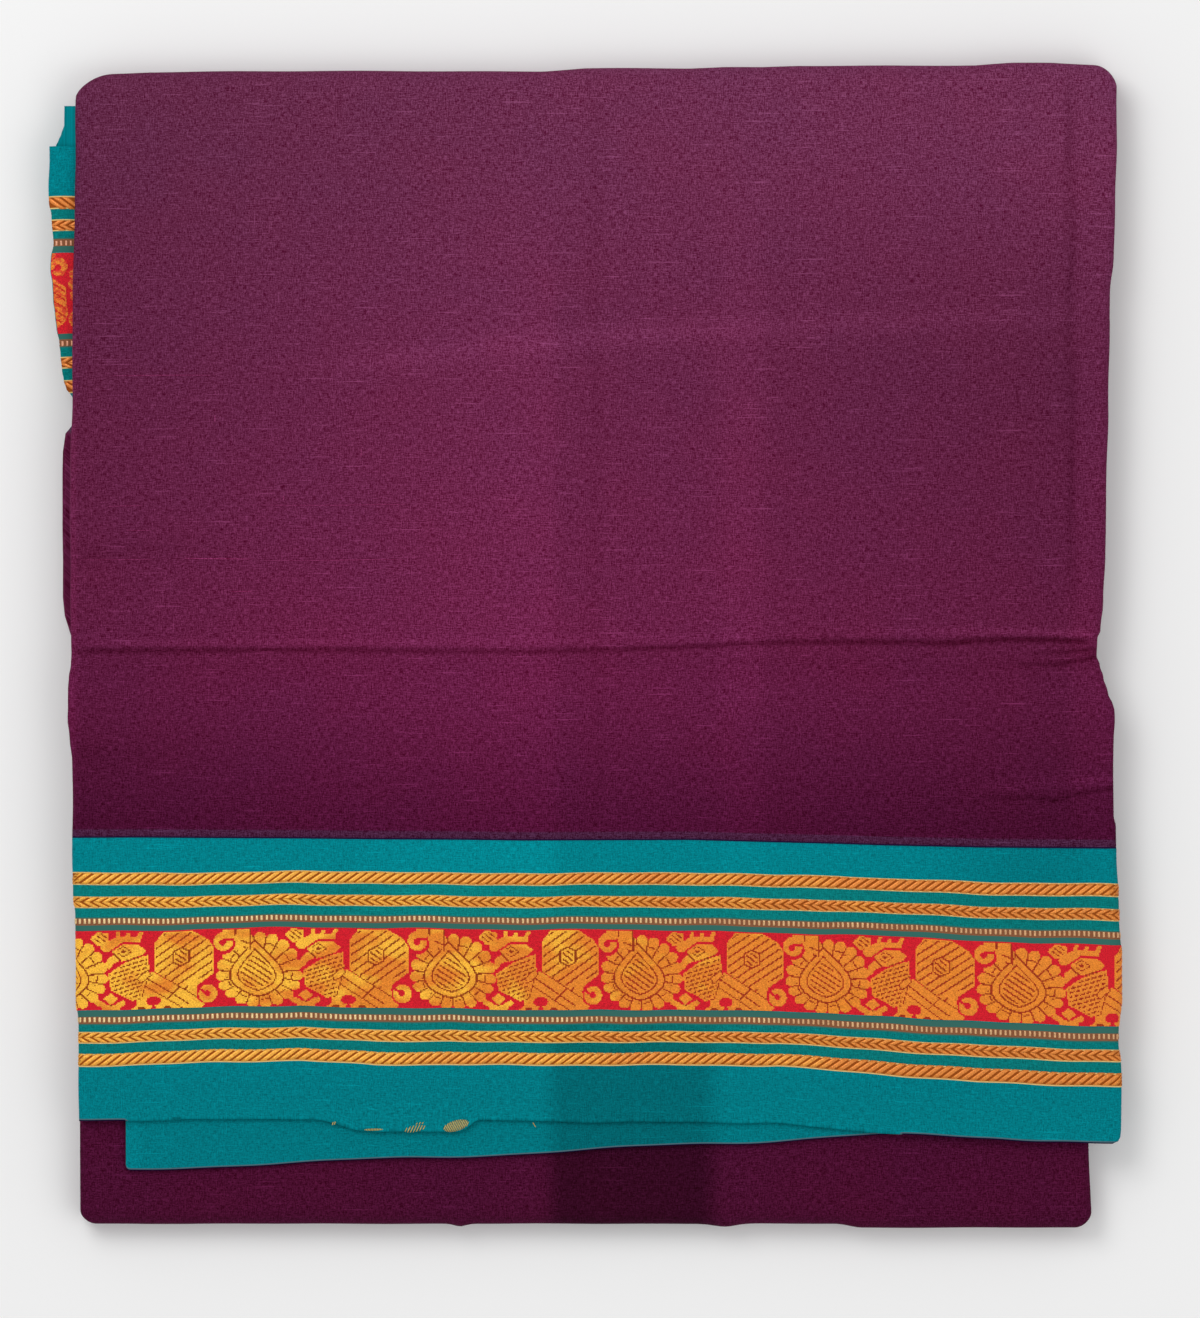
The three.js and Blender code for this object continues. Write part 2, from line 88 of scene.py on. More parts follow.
# The border's woven lines: how far each lies from the junction, and how much higher it lies at each x
LINE_X = [-171, -150, -120, -95, -70, -45, -20, 5, 35, 65, 85, 100, 132, 150, 178]
WOVEN_LINES = [
    (0.0, [0.0, 0.1, -0.1, -0.2, -0.5, -0.6, -0.9, -0.8, -0.7, -1.5, -2.0, -2.5, -3.2, -3.4, -3.6]),
    (10.7, [-0.5, -0.9, -0.5, -0.2, -0.2, -0.9, -0.8, -0.8, -0.5, -1.5, -1.6, -2.7, -3.7, -4.1, -4.5]),
    (30.8, [-0.5, -0.4, 0.5, 1.0, 0.6, 0.4, 0.0, 0.2, -0.2, -1.2, -1.4, -2.1, -3.6, -4.6, -5.0]),
    (58.0, [-0.2, 0.6, 1.3, 1.8, 0.7, 1.1, -0.1, 0.5, 0.1, 0.1, -1.2, -1.9, -3.5, -4.5, -5.3]),
    (77.1, [0.2, 0.8, 1.8, 2.4, 0.7, 1.0, 0.6, 0.8, 0.7, 0.5, -1.3, -2.5, -5.0, -5.8, -6.6]),
    (94.5, [-0.2, -0.5, 0.4, 0.1, -0.2, -0.3, -0.2, -0.9, -0.7, -1.2, -3.3, -4.4, -6.6, -7.3, -8.2]),
]
BORDER_WIDTH = 94.5

# The gold lines of the border: distance from the junction to each line's upper edge, and its width
ROPES = [{"at": 10.9, "wide": 4.3}, {"at": 72.3, "wide": 4.5}]
CHEVRONS = [{"at": 19.0, "wide": 4.0}, {"at": 65.2, "wide": 3.8}]
DOTS = [{"at": 26.4, "wide": 2.2}, {"at": 60.1, "wide": 2.1}]
BAND = {"at": 30.8, "wide": 27.2}
ROPE_PITCH = 3.17
DOT_PITCH = 1.65
# How much of the pitch a float of thread takes up, and how high it stands
ROPE_FLOAT, DOT_FLOAT = (0.84, 0.34), (0.56, 0.26)
# The ground shows this far beside the dotted lines, a gold line has rims this wide, and the edge's pale line
# and its line of painted shadow start this far from the edge
DOT_MARGIN = 0.5
RIM = 0.4
PALE_AND_SHADOW_LINES = (0.85, 0.45)
# The border's colours are charted down to here
DOWN_REACH = 100.0

# The second layer of border, and x and y along its lower edge
SECOND = {"left": -154.0, "right": 168.0, "tucked_to": -114.0, "leaves": -136.0, "lowest": -158.0}
# From here on the front edge hangs over bare plum
BARE_FROM = 106.0
SECOND_EDGE = [(-156, -175.6), (-56, -171.5), (44, -166.8), (105, -163.4), (174, -160.5)]

# The inner third's border, which peeps out at the left: y and x along its edge, and the layer behind it
INNER_JUNCTION_Y = 74.4
PEEP = [
    (76.3, -169.5), (83.9, -171.6), (85, -172.6), (86.8, -173.9), (89.6, -174.8), (93, -175.4),
    (98, -175.9), (102, -176.5), (107, -177.5), (112, -177.8), (117, -178.4), (122, -178.6),
    (127, -179.3), (131, -179.3), (135.5, -178.5), (145, -179), (149, -179.8), (169, -179.8),
]
PEEP_BEHIND = [
    (150, -177.6), (168.5, -177.4), (170.4, -176.6), (172.6, -175.8), (175.4, -174.9), (181.7, -174.5),
]
PEEP_TUCK = -153.0
# How far in from the edge its gold lines and figures run
PEEP_SHOWN = (0.2, 12.0)


def smooth(t):
    t = np.clip(t, 0, 1)
    return t * t * (3 - 2 * t)


def mix(a, b, t):
    return a + (b - a) * t


def wave(at, height, length, start=0.0):
    """A slow waver. length is how far it takes to run through one radian."""
    return height * np.sin(at / length + start)


def hump(at, middle, spread):
    """1 at the middle, and fading to both sides."""
    return np.exp(-(((at - middle) / spread) ** 2))


def read(rows, at, column=1):
    """Reads a table by its first column, easing from one row to the next."""
    numbers = np.array(rows, float)
    keys, values = numbers[:, 0], numbers[:, column]
    at = np.clip(at, keys[0], keys[-1])
    i = np.clip(np.searchsorted(keys, at) - 1, 0, len(keys) - 2)
    return mix(values[i], values[i + 1], smooth((at - keys[i]) / (keys[i + 1] - keys[i])))


def corner(y, edge, radius):
    """How far a rounded corner takes an edge in, at y."""
    into = np.clip((y * np.sign(edge) - (abs(edge) - radius)) / radius, 0, 1)
    return radius * (1 - np.sqrt(np.maximum(0, 1 - into * into)))


def front_left(y):
    wander = wave(y, 0.12, 11.0) + wave(y, 0.08, 4.3, 1)
    return read(FRONT_EDGES, y, 1) + corner(y, PACK["top"], CORNERS["top_left"]) + wander


def front_right(y):
    wander = wave(y, 0.1, 13.0, 2) + wave(y, 0.08, 5.1)
    return read(FRONT_EDGES, y, 2) - corner(y, PACK["top"], CORNERS["top_right"]) + wander


def lower_left(y):
    return read(LOWER_EDGES, y, 1) + corner(y, PACK["bottom"], CORNERS["bottom_left"])


def lower_right(y):
    return read(LOWER_EDGES, y, 2) - corner(y, PACK["bottom"], CORNERS["bottom_right"])


# The top of the pack slopes to the top fold, sinks a little to the border, and steps down at the ledge
SLOPE_FROM = 105.0
SINK = {"from": -60.0, "over": 80.0, "by": 0.9}
SIDES_FALL = 0.8


def before_ledge(y):
    return 1 - smooth((LEDGE["from"] - y) / (LEDGE["from"] - LEDGE["to"]))


def crown(y):
    to_fold = np.clip((y - SLOPE_FROM) / (TOP_FOLD_Y - SLOPE_FROM), 0, 1)
    to_border = np.clip((SINK["from"] - y) / SINK["over"], 0, 1)
    high = PACK["height"] - (PACK["height"] - 2 * TOP_FOLD) * to_fold**2 - SINK["by"] * to_border
    return mix(BORDER_HEIGHT, high, before_ledge(y))


def side_fall(x, y):
    return SIDES_FALL * np.abs(x / PACK["half_width"]) ** 4 * before_ledge(y)


# Creases of the top cloth: start, end, bow, depth at the start and the end, and width there. A depth below
# nought is a ridge
CREASES = [
    ((-171, -1.2), (-20, -1.5), 0.5, (0.3, 0.25), (1.1, 0.9)),
    ((-20, -1.5), (62, 1.6), -0.4, (0.25, 0.3), (0.9, 0.9)),
    ((62, 1.6), (120, 1.4), 0.3, (0.28, 0.36), (1.0, 1.1)),
    ((120, 1.4), (168, 2.0), 1.0, (0.36, 0.46), (1.1, 0.9)),
    ((150, -1.9), (171, -0.6), -0.3, (0.1, 0.36), (0.8, 0.7)),
    ((144, -5.4), (171, -3.2), -1.3, (0.1, 0.4), (0.8, 0.8)),
    ((90, 5.2), (170, 4.4), 0.5, (-0.05, -0.25), (1.4, 1.2)),
    ((-171, 1.4), (60, 3.6), -0.7, (-0.12, -0.06), (1.5, 1.4)),
    ((-171, -7), (172, -6), 0.9, (0.04, 0.06), (6.5, 6.0)),
    ((128, -51.0), (157.4, -51.1), 0.8, (0.04, 0.26), (1.0, 0.8)),
    ((157.4, -51.1), (177, -47.1), 0.3, (0.26, 0.2), (0.8, 0.8)),
    ((128, -46.6), (177, -43.8), -0.5, (-0.03, -0.2), (1.6, 1.6)),
    ((-86, 93.6), (14, 104.7), 0.8, (-0.08, -0.12), (3.4, 3.6)),
    ((14, 104.7), (163, 111.4), 0.6, (-0.12, -0.08), (3.6, 3.2)),
    ((163.6, 16), (162.8, 186), 0.4, (0.16, 0.2), (1.3, 1.2)),
    ((5, -60), (4, 186), 0.8, (0.04, 0.05), (2.4, 2.2)),
    ((-171, 30), (-120, 34), 0.9, (0.08, 0.02), (3.6, 3.2)),
    ((-171, -36), (-132, -33), -0.8, (0.1, 0.02), (3.2, 2.6)),
]


def creases(x, y):
    """How far the creases sink the cloth at each point."""
    total = np.zeros_like(x)
    for (x0, y0), (x1, y1), bow, depth, wide in CREASES:
        length = math.hypot(x1 - x0, y1 - y0)
        along_x, along_y = (x1 - x0) / length, (y1 - y0) / length
        t = ((x - x0) * along_x + (y - y0) * along_y) / length
        share = np.clip(t, 0, 1)
        off = -(x - x0) * along_y + (y - y0) * along_x - bow * np.sin(np.pi * share)
        fade = smooth((t + 0.04) / 0.1) * smooth((1.06 - t) / 0.1)
        total += mix(*depth, share) * hump(off, 0, mix(*wide, share)) * fade
    return total


def swell(x, y):
    """The cloth's slow rise and fall, and the sag over the folds beneath it."""
    slow = wave(x, 0.16, 39, wave(y, 0.4, 51)) * wave(y, 1, 63, 1.2)
    quick = wave(x, 0.05, 12.5, y / 31) + wave(y, 0.04, 9.7, 2 - x / 44)
    return slow + quick - 0.12


def top_surface(x, y):
    return crown(y) - side_fall(x, y) + swell(x, y) - creases(x, y)


def rise(x, at):
    """How much higher than level a woven line of the border lies at x."""
    rows = np.array([np.interp(x, LINE_X, rises) for _, rises in WOVEN_LINES])
    places = np.array([place for place, _ in WOVEN_LINES])
    i = np.clip(np.searchsorted(places, at) - 1, 0, len(places) - 2)
    t = np.clip((at - places[i]) / (places[i + 1] - places[i]), 0, 1)
    flat, above, column = rows.reshape(len(places), -1), i.ravel(), np.arange(x.size)
    return mix(flat[above, column], flat[above + 1, column], t.ravel()).reshape(x.shape)


def ripple(x, at):
    """The small waver of the woven lines."""
    return wave(x, 0.16, 8.5, at / 17) + wave(x, 0.1, 3.9, at / 9)


def edge_sag(x, at):
    """Where the front edge's gold threads show, the edge hangs a little lower."""
    return 3.6 * smooth((x + 92) / 18) * smooth((-35.5 - x) / 6) * smooth((at - 87) / 7.5)


def border_y(x, at):
    faded = smooth(at / 6)
    return JUNCTION_Y - at + rise(x, at) + ripple(x, at) * faded - edge_sag(x, at)


def wrap(u, left, right):
    """Lays cloth across the top and round both edges. Gives x, the drop, and how far out and up it looks."""
    rl, rr = LEFT_CURL["radius"], RIGHT_CURL["radius"]
    a = np.clip((left + rl - u) / rl, 0, LEFT_CURL["angle"])
    b = np.clip((u - right + rr) / rr, 0, RIGHT_CURL["angle"])
    x = np.clip(u, left + rl, right - rr) - rl * np.sin(a) + rr * np.sin(b)
    drop = rl * (1 - np.cos(a)) + rr * (1 - np.cos(b))
    return x, drop, np.sin(b) - np.sin(a), np.cos(a) * np.cos(b)


def flat_reach(left, right):
    """From where to where the flat cloth runs, with both curled edges laid out."""
    return left + LEFT_CURL["radius"] - LEFT_ARC, right - RIGHT_CURL["radius"] + RIGHT_ARC


def columns_across(left, right, step):
    """Places across the cloth, closer together round the edges. left and right hold a value for each row."""
    start, end = flat_reach(left, right)
    near = np.linspace(0, LEFT_ARC, 9)
    far = np.linspace(RIGHT_ARC, 0, 13)
    count = int((right.mean() - left.mean()) / step)
    middle = np.linspace(0, 1, count)[1:-1]
    flat = mix((start + LEFT_ARC)[:, None], (end - RIGHT_ARC)[:, None], middle[None, :])
    return np.hstack([start[:, None] + near, flat, end[:, None] - far])


def lay_across(left, right, step):
    """Columns of the flat cloth, where each lies, and how far it drops at the curled edges."""
    u = columns_across(left, right, step)
    x, drop, *_ = wrap(u, left[:, None], right[:, None])
    return u, x, drop


def lift_off(x, y, z, out_y, out_z, up):
    """Points that lie up millimetres outside a section of the pack, and never below the floor."""
    points = np.stack([x, y + up * out_y[:, None], z[:, None] + up * out_z[:, None]], -1)
    points[..., 2] = np.maximum(points[..., 2], 0)
    return points


# Making meshes
def deselect():
    if bpy.context.object and bpy.context.object.mode != "OBJECT":
        bpy.ops.object.mode_set(mode="OBJECT")
    bpy.ops.object.select_all(action="DESELECT")


def apply_modifiers(piece):
    deselect()
    piece.select_set(True)
    bpy.context.view_layer.objects.active = piece
    for modifier in list(piece.modifiers):
        bpy.ops.object.modifier_apply(modifier=modifier.name)


def set_points(mesh, points):
    mesh.vertices.foreach_set("co", (np.asarray(points, float).reshape(-1, 3) * MM).ravel())
    mesh.update()


def lay_uv(mesh, across, down):
    """Gives each corner its place on the flat cloth, in metres."""
    layer = mesh.uv_layers.active or mesh.uv_layers.new(name="UVMap")
    corners = np.zeros(len(mesh.loops), int)
    mesh.loops.foreach_get("vertex_index", corners)
    flat = np.stack([across.ravel()[corners], down.ravel()[corners]], 1) * MM
    layer.data.foreach_set("uv", flat.ravel())


def sheet_mesh(name, points, across, down, thickness=CLOTH, outward=1):
    """A cloth shell from rows of points on its outer side. across and down are places on the flat cloth."""
    rows, columns = points.shape[:2]
    deselect()
    bpy.ops.mesh.primitive_grid_add(
        x_subdivisions=columns - 1, y_subdivisions=rows - 1, size=1, calc_uvs=True
    )
    piece = bpy.context.object
    piece.name = piece.data.name = name
    set_points(piece.data, points)
    lay_uv(piece.data, across, down)
    if outward < 0:
        piece.data.flip_normals()
    if thickness:
        shell = piece.modifiers.new("thickness", "SOLIDIFY")
        shell.thickness = thickness * MM
        shell.offset = -1
        shell.use_even_offset = False
        apply_modifiers(piece)
    deselect()
    piece.select_set(True)
    bpy.context.view_layer.objects.active = piece
    bpy.ops.object.shade_smooth()
    return piece


def paint(piece, colours):
    """Stores the tone of each point."""
    layer = piece.data.color_attributes.new(name="tone", type="FLOAT_COLOR", domain="POINT")
    layer.data.foreach_set("color", np.hstack([colours, np.ones((len(colours), 1))]).ravel())


def points_of(piece):
    flat = np.zeros(len(piece.data.vertices) * 3)
    piece.data.vertices.foreach_get("co", flat)
    return flat.reshape(-1, 3) / MM


# Colours
def shade(r, g, b):
    """A colour of the photograph as the linear value that a shader takes."""
    shares = (r / 255, g / 255, b / 255)
    return tuple(c / 12.92 if c <= 0.04045 else ((c + 0.055) / 1.055) ** 2.4 for c in shares)


# The field's colour with painted sheen and shade, greyer and lighter towards the top fold and deeper towards
# the border: y, and the colour there
PLUM_TONES = [
    (-190, shade(72, 14, 46)),
    (-62, shade(76, 15, 50)),
    (-10, shade(101, 29, 68)),
    (8, shade(104, 32, 70)),
    (90, shade(102, 37, 72)),
    (190, shade(106, 46, 79)),
]
UNDER_PLUM = shade(94, 30, 63)
# The front third lies above this
UPPER_SIDE = 9.0
TEAL_HIGH, TEAL_LOW = shade(1, 127, 137), shade(1, 121, 131)
GREY_STRIP, NAVY_LINE = shade(72, 32, 61), shade(34, 20, 60)
BLUE_GREY = shade(54, 105, 97)
RED = shade(206, 24, 40)
# The gold and its lines from left to right: the change is painted sheen, brighter and yellower at the left
GOLD_LEFT, GOLD_MIDDLE, GOLD_RIGHT = shade(248, 184, 58), shade(226, 130, 40), shade(228, 132, 44)
GOLD_LINE_LEFT, GOLD_LINE_RIGHT = shade(142, 58, 12), shade(158, 46, 20)
SILVER_GOLD = shade(236, 206, 150)
# A pale line along the border's edge, and a dark line of painted shadow at the very edge
PALE_HEM, EDGE_SHADOW = shade(76, 102, 114), shade(20, 10, 46)
# How much the field's red, green and blue follow its lighter and darker threads, and the painted shade in its
# creases
LIGHT_THREADS = (0.85, 1.7, 1.25)
CREASE_SHADE = (0.6, 0.95, 0.78)
# Here and there the field turns to wine
WINE = (1.12, 0.84, 0.86)
# Where the field meets the border: a dark line, a grey strip and a fainter one, down to these distances
JOIN_REACH = 5.0
JOIN_STRIPES = (0.45, 2.7, 3.0)
# The other plum stretches start this far down the flat cloth, so that they have no such stripes
CLEAR_OF_JOIN = 20
# Between the gold lines the turquoise is a little greener
GREENER = (8.0, 0.9, 0.76)
GOLD_GROUND, CREAM_EDGE = shade(150, 76, 26), shade(226, 188, 118)

# Painted light and shade from side to side, over the folds that lie beneath the cloth, and a painted
# highlight on its left edge: x, and the share of its colour
LIGHT_ACROSS = [
    (-171.4, 1.0), (-170, 0.8), (-13, 1.14), (-7, 1.0), (42, 0.98), (49, 1.06), (56, 1.04), (63, 0.93),
    (150, 0.8), (161, 0.79), (165, 0.88), (178, 0.92),
]
LIGHT_AT_TOP = [(-172, 0.78), (0, 1.01), (172, 1.08)]
TEAL_ACROSS = [
    (-172, 0.98), (-80, 0.99), (-58, 1.08), (-13, 1.13), (-7, 0.97), (42, 0.98), (48, 1.06), (62, 1.01),
    (112, 0.96), (142, 0.82), (156, 0.8), (178, 0.92),
]
# How much darker plum and turquoise are in the painted shadow band towards the front edge
PLUM_SHADED, TEAL_SHADED = 0.47, 0.29


def lightness(x, table):
    return np.interp(x, *zip(*table))


def shadow_band(x, y):
    """A painted shadow: the darker upright band that falls across the cloth towards the front edge."""
    return smooth((x + 16) / 9) * smooth((48 - x) / 10) * smooth((-112 - y) / 30)


# The field's colour, with its painted sheen and shade from top to bottom, painted light and shade across, and
# the painted shadow band
def plum_tone(x, y):
    places, colours = zip(*PLUM_TONES)
    tone = np.stack([np.interp(y, places, channel) for channel in zip(*colours)], -1)
    across = mix(lightness(x, LIGHT_ACROSS), lightness(x, LIGHT_AT_TOP), smooth((y - 90) / 90))
    across = mix(across, 1, smooth((-70 - y) / 20))
    return tone * (across * (1 - PLUM_SHADED * shadow_band(x, y)))[:, None]


def turned_tone(co):
    """The field's tone with its painted light and shade, one even plum where the cloth has turned under."""
    under = smooth((2.5 - co[:, 2]) / 2.5)[:, None]
    return mix(plum_tone(co[:, 0], co[:, 1]), np.array(UNDER_PLUM), under)


def crease_shaded_tone(co):
    """The field's tone on top, with painted shade in the creases' troughs and painted light on their ridges.
    """
    creased = 1 - np.tanh(creases(co[:, 0], co[:, 1]) / 0.4)[:, None] * np.array(CREASE_SHADE)
    return np.where(co[:, 2:] > UPPER_SIDE, creased, 1) * turned_tone(co)


# The turquoise, with painted light and shade across it and the painted shadow band
def teal_tone(x, y):
    across = mix(1, lightness(x, TEAL_ACROSS), smooth((y + 110) / 30))
    tone = mix(np.array(TEAL_LOW), np.array(TEAL_HIGH), smooth((y + 160) / 90)[:, None])
    return tone * (across * (1 - TEAL_SHADED * shadow_band(x, y)))[:, None]


def inner_tone(co):
    """The turquoise of the inner third, which is even from end to end."""
    return teal_tone(co[:, 0], np.full(len(co), -120.0))


# Materials. A cloth's patterns are read from its flat size, and a thread's from the object's own space
FLAT_CLOTH = ("UVMap", "UV")
OBJECT_SPACE = ("TexCoord", "Object")
PLAIN, RED_FLAG, GREEN_FLAG, BLUE_FLAG = (0, 0, 0), (1, 0, 0), (0, 1, 0), (0, 0, 1)


def material(name, roughness, gleam=0.03, metallic=0.0, sheen=0.0, tint=(1, 1, 1)):
    made = bpy.data.materials.new(name)
    made.use_nodes = True
    shader = made.node_tree.nodes["Principled BSDF"]
    finish = {
        "Roughness": roughness,
        "Specular IOR Level": gleam,
        "Metallic": metallic,
        "Sheen Weight": sheen,
        "Sheen Roughness": 0.45,
        "Sheen Tint": (*tint, 1),
    }
    for socket, value in finish.items():
        shader.inputs[socket].default_value = value
    return made, shader


class Look:
    """A cloth or thread in the making. places is what its patterns are read from."""

    def __init__(self, name, roughness, places, **finish):
        self.made, self.shader = material(name, roughness, **finish)
        self.nodes, self.links = self.made.node_tree.nodes, self.made.node_tree.links
        kind, output = places
        self.places = self.node(kind).outputs[output]

    def feed(self, socket, value):
        """Gives a socket a number or a colour, or links another node's output to it."""
        if isinstance(value, bpy.types.NodeSocket):
            self.links.new(value, socket)
        elif socket.type == "RGBA":
            socket.default_value = (*value, 1)
        else:
            socket.default_value = value

    def node(self, kind, inputs=None):
        node = self.nodes.new("ShaderNode" + kind)
        for socket, value in (inputs or {}).items():
            self.feed(node.inputs[socket], value)
        return node

    def noise(self, scale, detail=2.0, rough=0.5):
        """A noise stretched along the axes: scale is its three frequencies, per metre."""
        stretched = self.node("Mapping", {"Vector": self.places, "Scale": scale}).outputs["Vector"]
        inputs = {"Vector": stretched, "Scale": 1, "Detail": detail, "Roughness": rough}
        return self.node("TexNoise", inputs).outputs["Fac"]

    def calculate(self, operation, a, b):
        node = self.nodes.new("ShaderNodeMath")
        node.operation = operation
        for socket, value in zip(node.inputs, (a, b)):
            self.feed(socket, value)
        return node.outputs[0]

    def spread(self, value, low, high, to_low, to_high):
        """Takes the span from low to high to the one from to_low to to_high."""
        ends = {"From Min": low, "From Max": high, "To Min": to_low, "To Max": to_high}
        return self.node("MapRange", {"Value": value, **ends}).outputs["Result"]

    def blend(self, kind, factor, a, b):
        """Mixes two colours."""
        node = self.nodes.new("ShaderNodeMix")
        node.data_type = "RGBA"
        node.blend_type = kind
        for socket, value in ((0, factor), (6, a), (7, b)):
            self.feed(node.inputs[socket], value)
        return node.outputs[2]

    def ramp(self, value, stops, change="LINEAR"):
        node = self.node("ValToRGB", {"Fac": value})
        node.color_ramp.interpolation = change
        elements = node.color_ramp.elements
        while len(elements) > 1:
            elements.remove(elements[-1])
        for i, (place, colour) in enumerate(stops):
            element = elements[0] if i == 0 else elements.new(place)
            element.position = place
            element.color = (*colour, 1)
        return node.outputs["Color"]

    def flags(self, value, stops):
        """Three switches along a value, kept in red, green and blue."""
        return self.channels(self.ramp(value, stops, "CONSTANT"))

    def channels(self, colour):
        return self.node("SeparateColor", {"Color": colour}).outputs

    def axis(self, name):
        return self.node("SeparateXYZ", {"Vector": self.places}).outputs[name]

    def stored(self, name):
        node = self.nodes.new("ShaderNodeAttribute")
        node.attribute_name = name
        return node.outputs["Color"]

    def tint(self, red, green, blue):
        node = self.node("CombineColor", {"Red": red, "Green": green, "Blue": blue})
        return node.outputs["Color"]

    def relief(self, height, strength, depth):
        inputs = {"Height": height, "Strength": strength, "Distance": depth * MM}
        self.links.new(self.node("Bump", inputs).outputs["Normal"], self.shader.inputs["Normal"])

    def finish(self, colour):
        self.links.new(colour, self.shader.inputs["Base Color"])
        return self.made


def weave(look, amount):
    """Fine cotton, near 1 all over: uneven threads both ways, thick ones here and there, a soft mottle."""
    weft = look.noise((480, 2900, 400), 2, 0.7)
    warp = look.noise((2900, 480, 400), 2, 0.7)
    mottle = look.noise((2300, 2300, 900), 2, 0.7)
    threads = look.calculate("ADD", look.calculate("ADD", weft, warp), mottle)
    threads = look.spread(threads, 1.1, 1.9, 1 - amount, 1 + amount)
    slub = look.noise((60, 1900, 300), 1, 0.4)
    threads = look.calculate("ADD", threads, look.spread(slub, 0.66, 0.8, 0, amount))
    upright = look.noise((1700, 90, 300), 1, 0.4)
    return look.calculate("ADD", threads, look.spread(upright, 0.72, 0.84, 0, amount * 0.7))


def thread_relief(look, pitch, strength, depth):
    """The weave's own relief, thread by thread."""
    both = []
    for direction in "XY":
        inputs = {"Vector": look.places, "Scale": 1 / (20 * pitch * MM), "Distortion": 1.4, "Detail": 1}
        threads = look.node("TexWave", inputs)
        threads.bands_direction = direction
        both.append(threads.outputs["Fac"])
    uneven = look.noise((300, 1800, 300), 2, 0.6)
    look.relief(look.calculate("ADD", look.calculate("ADD", *both), uneven), strength, depth)


def field_cloth():
    look = Look("plum_cotton", 0.9, FLAT_CLOTH, sheen=0.02, tint=shade(170, 120, 160))
    factor = weave(look, 1.05)
    grey = look.tint(*[look.spread(factor, 0.45, 2, 1 - 0.55 * share, 1 + share) for share in LIGHT_THREADS])
    colour = look.blend("MULTIPLY", 1.0, look.stored("tone"), grey)
    wine = look.spread(look.noise((25, 25, 25), 3, 0.6), 0.35, 0.7, 0, 0.35)
    colour = look.blend("MIX", wine, colour, look.blend("MULTIPLY", 1.0, colour, WINE))
    near = look.spread(look.axis("Y"), 0, JOIN_REACH * MM, 0, 1)
    line, strip, faded = (place / JOIN_REACH for place in JOIN_STRIPES)
    flags = look.flags(near, [(0, GREEN_FLAG), (line, RED_FLAG), (strip, (0.4, 0, 0)), (faded, PLAIN)])
    colour = look.blend("MIX", flags["Red"], colour, look.blend("MULTIPLY", 1.0, GREY_STRIP, grey))
    colour = look.blend("MIX", flags["Green"], colour, NAVY_LINE)
    thread_relief(look, THREAD, 0.35, 0.12)
    return look.finish(colour)


def line_stops():
    """Where the ground is blue-grey (red flag), gold (green) or the cream of a gold line's rim (blue)."""
    stops = [(0, PLAIN)]
    upper, lower = DOTS
    for dots, start, end in (
        (upper, upper["at"] - DOT_MARGIN, BAND["at"]),
        (lower, BAND["at"] + BAND["wide"], lower["at"] + lower["wide"] + DOT_MARGIN),
    ):
        near, far = dots["at"], dots["at"] + dots["wide"]
        stops += [(start, RED_FLAG), (near, (0, 0.8, 0)), (far, RED_FLAG), (end, PLAIN)]
    for line in ROPES + CHEVRONS:
        near, far = line["at"], line["at"] + line["wide"]
        stops += [(near, BLUE_FLAG), (near + RIM, GREEN_FLAG), (far - RIM, BLUE_FLAG), (far, PLAIN)]
    return sorted(stops)


def zone_stops():
    """Between the ropes the cloth is greener (blue flag), and the edge ends in a pale line and a line of
    painted shadow.
    """
    pale, dark = (BORDER_WIDTH - width for width in PALE_AND_SHADOW_LINES)
    first, last = (rope["at"] for rope in ROPES)
    return [(0, PLAIN), (first, BLUE_FLAG), (last, PLAIN), (pale, RED_FLAG), (dark, GREEN_FLAG)]


def border_cloth():
    look = Look("turquoise_cotton", 0.88, FLAT_CLOTH, sheen=0.004, tint=shade(120, 215, 215))
    factor = weave(look, 0.5)
    down = look.spread(look.axis("Y"), 0, DOWN_REACH * MM, 0, 1)
    lines = look.flags(down, [(place / DOWN_REACH, flag) for place, flag in line_stops()])
    zones = look.flags(down, [(place / DOWN_REACH, flag) for place, flag in zone_stops()])
    colour = look.blend("MULTIPLY", 1.0, look.stored("tone"), look.tint(factor, factor, factor))
    colour = look.blend("MIX", zones["Blue"], colour, look.blend("MULTIPLY", 1.0, colour, GREENER))
    # Blue-grey, gold, cream rims, the pale edge line, and last the painted shadow line along the edge
    for flag, laid in (
        (lines["Red"], BLUE_GREY),
        (lines["Green"], GOLD_GROUND),
        (lines["Blue"], CREAM_EDGE),
        (zones["Red"], PALE_HEM),
        (zones["Green"], EDGE_SHADOW),
    ):
        colour = look.blend("MIX", flag, colour, laid)
    thread_relief(look, 0.36, 0.3, 0.1)
    return look.finish(colour)


def from_left(look, patches, *unevenness):
    """How far each place lies to the right, from 0 to 1, unevenly, in soft patches. The gold's painted sheen
    follows it.
    """
    along = look.spread(look.axis("X"), -0.15, 0.12, 0, 1)
    return look.calculate("ADD", along, look.spread(look.noise(patches, 2, 0.5), *unevenness))


def glitter(look, colour, threads, dull, bright, depth):
    """Fine threads that catch the light unevenly, and stand out a little."""
    fine = look.noise(threads, 2, 0.6)
    grey = look.spread(fine, 0.25, 0.75, dull, bright)
    look.relief(fine, 0.5, depth)
    return look.finish(look.blend("MULTIPLY", 1.0, colour, look.tint(grey, grey, grey)))


def gold_thread(name, left, right):
    """Gold thread, brighter and yellower at the left where the sheen falls."""
    look = Look(name, 0.42, OBJECT_SPACE, gleam=0.5, metallic=0.35)
    along = from_left(look, (40, 90, 40), 0.3, 0.7, -0.3, 0.3)
    colour = look.ramp(along, [(0.1, left), (0.9, right)])
    return glitter(look, colour, (3200, 1500, 800), 0.6, 1.4, 0.06)


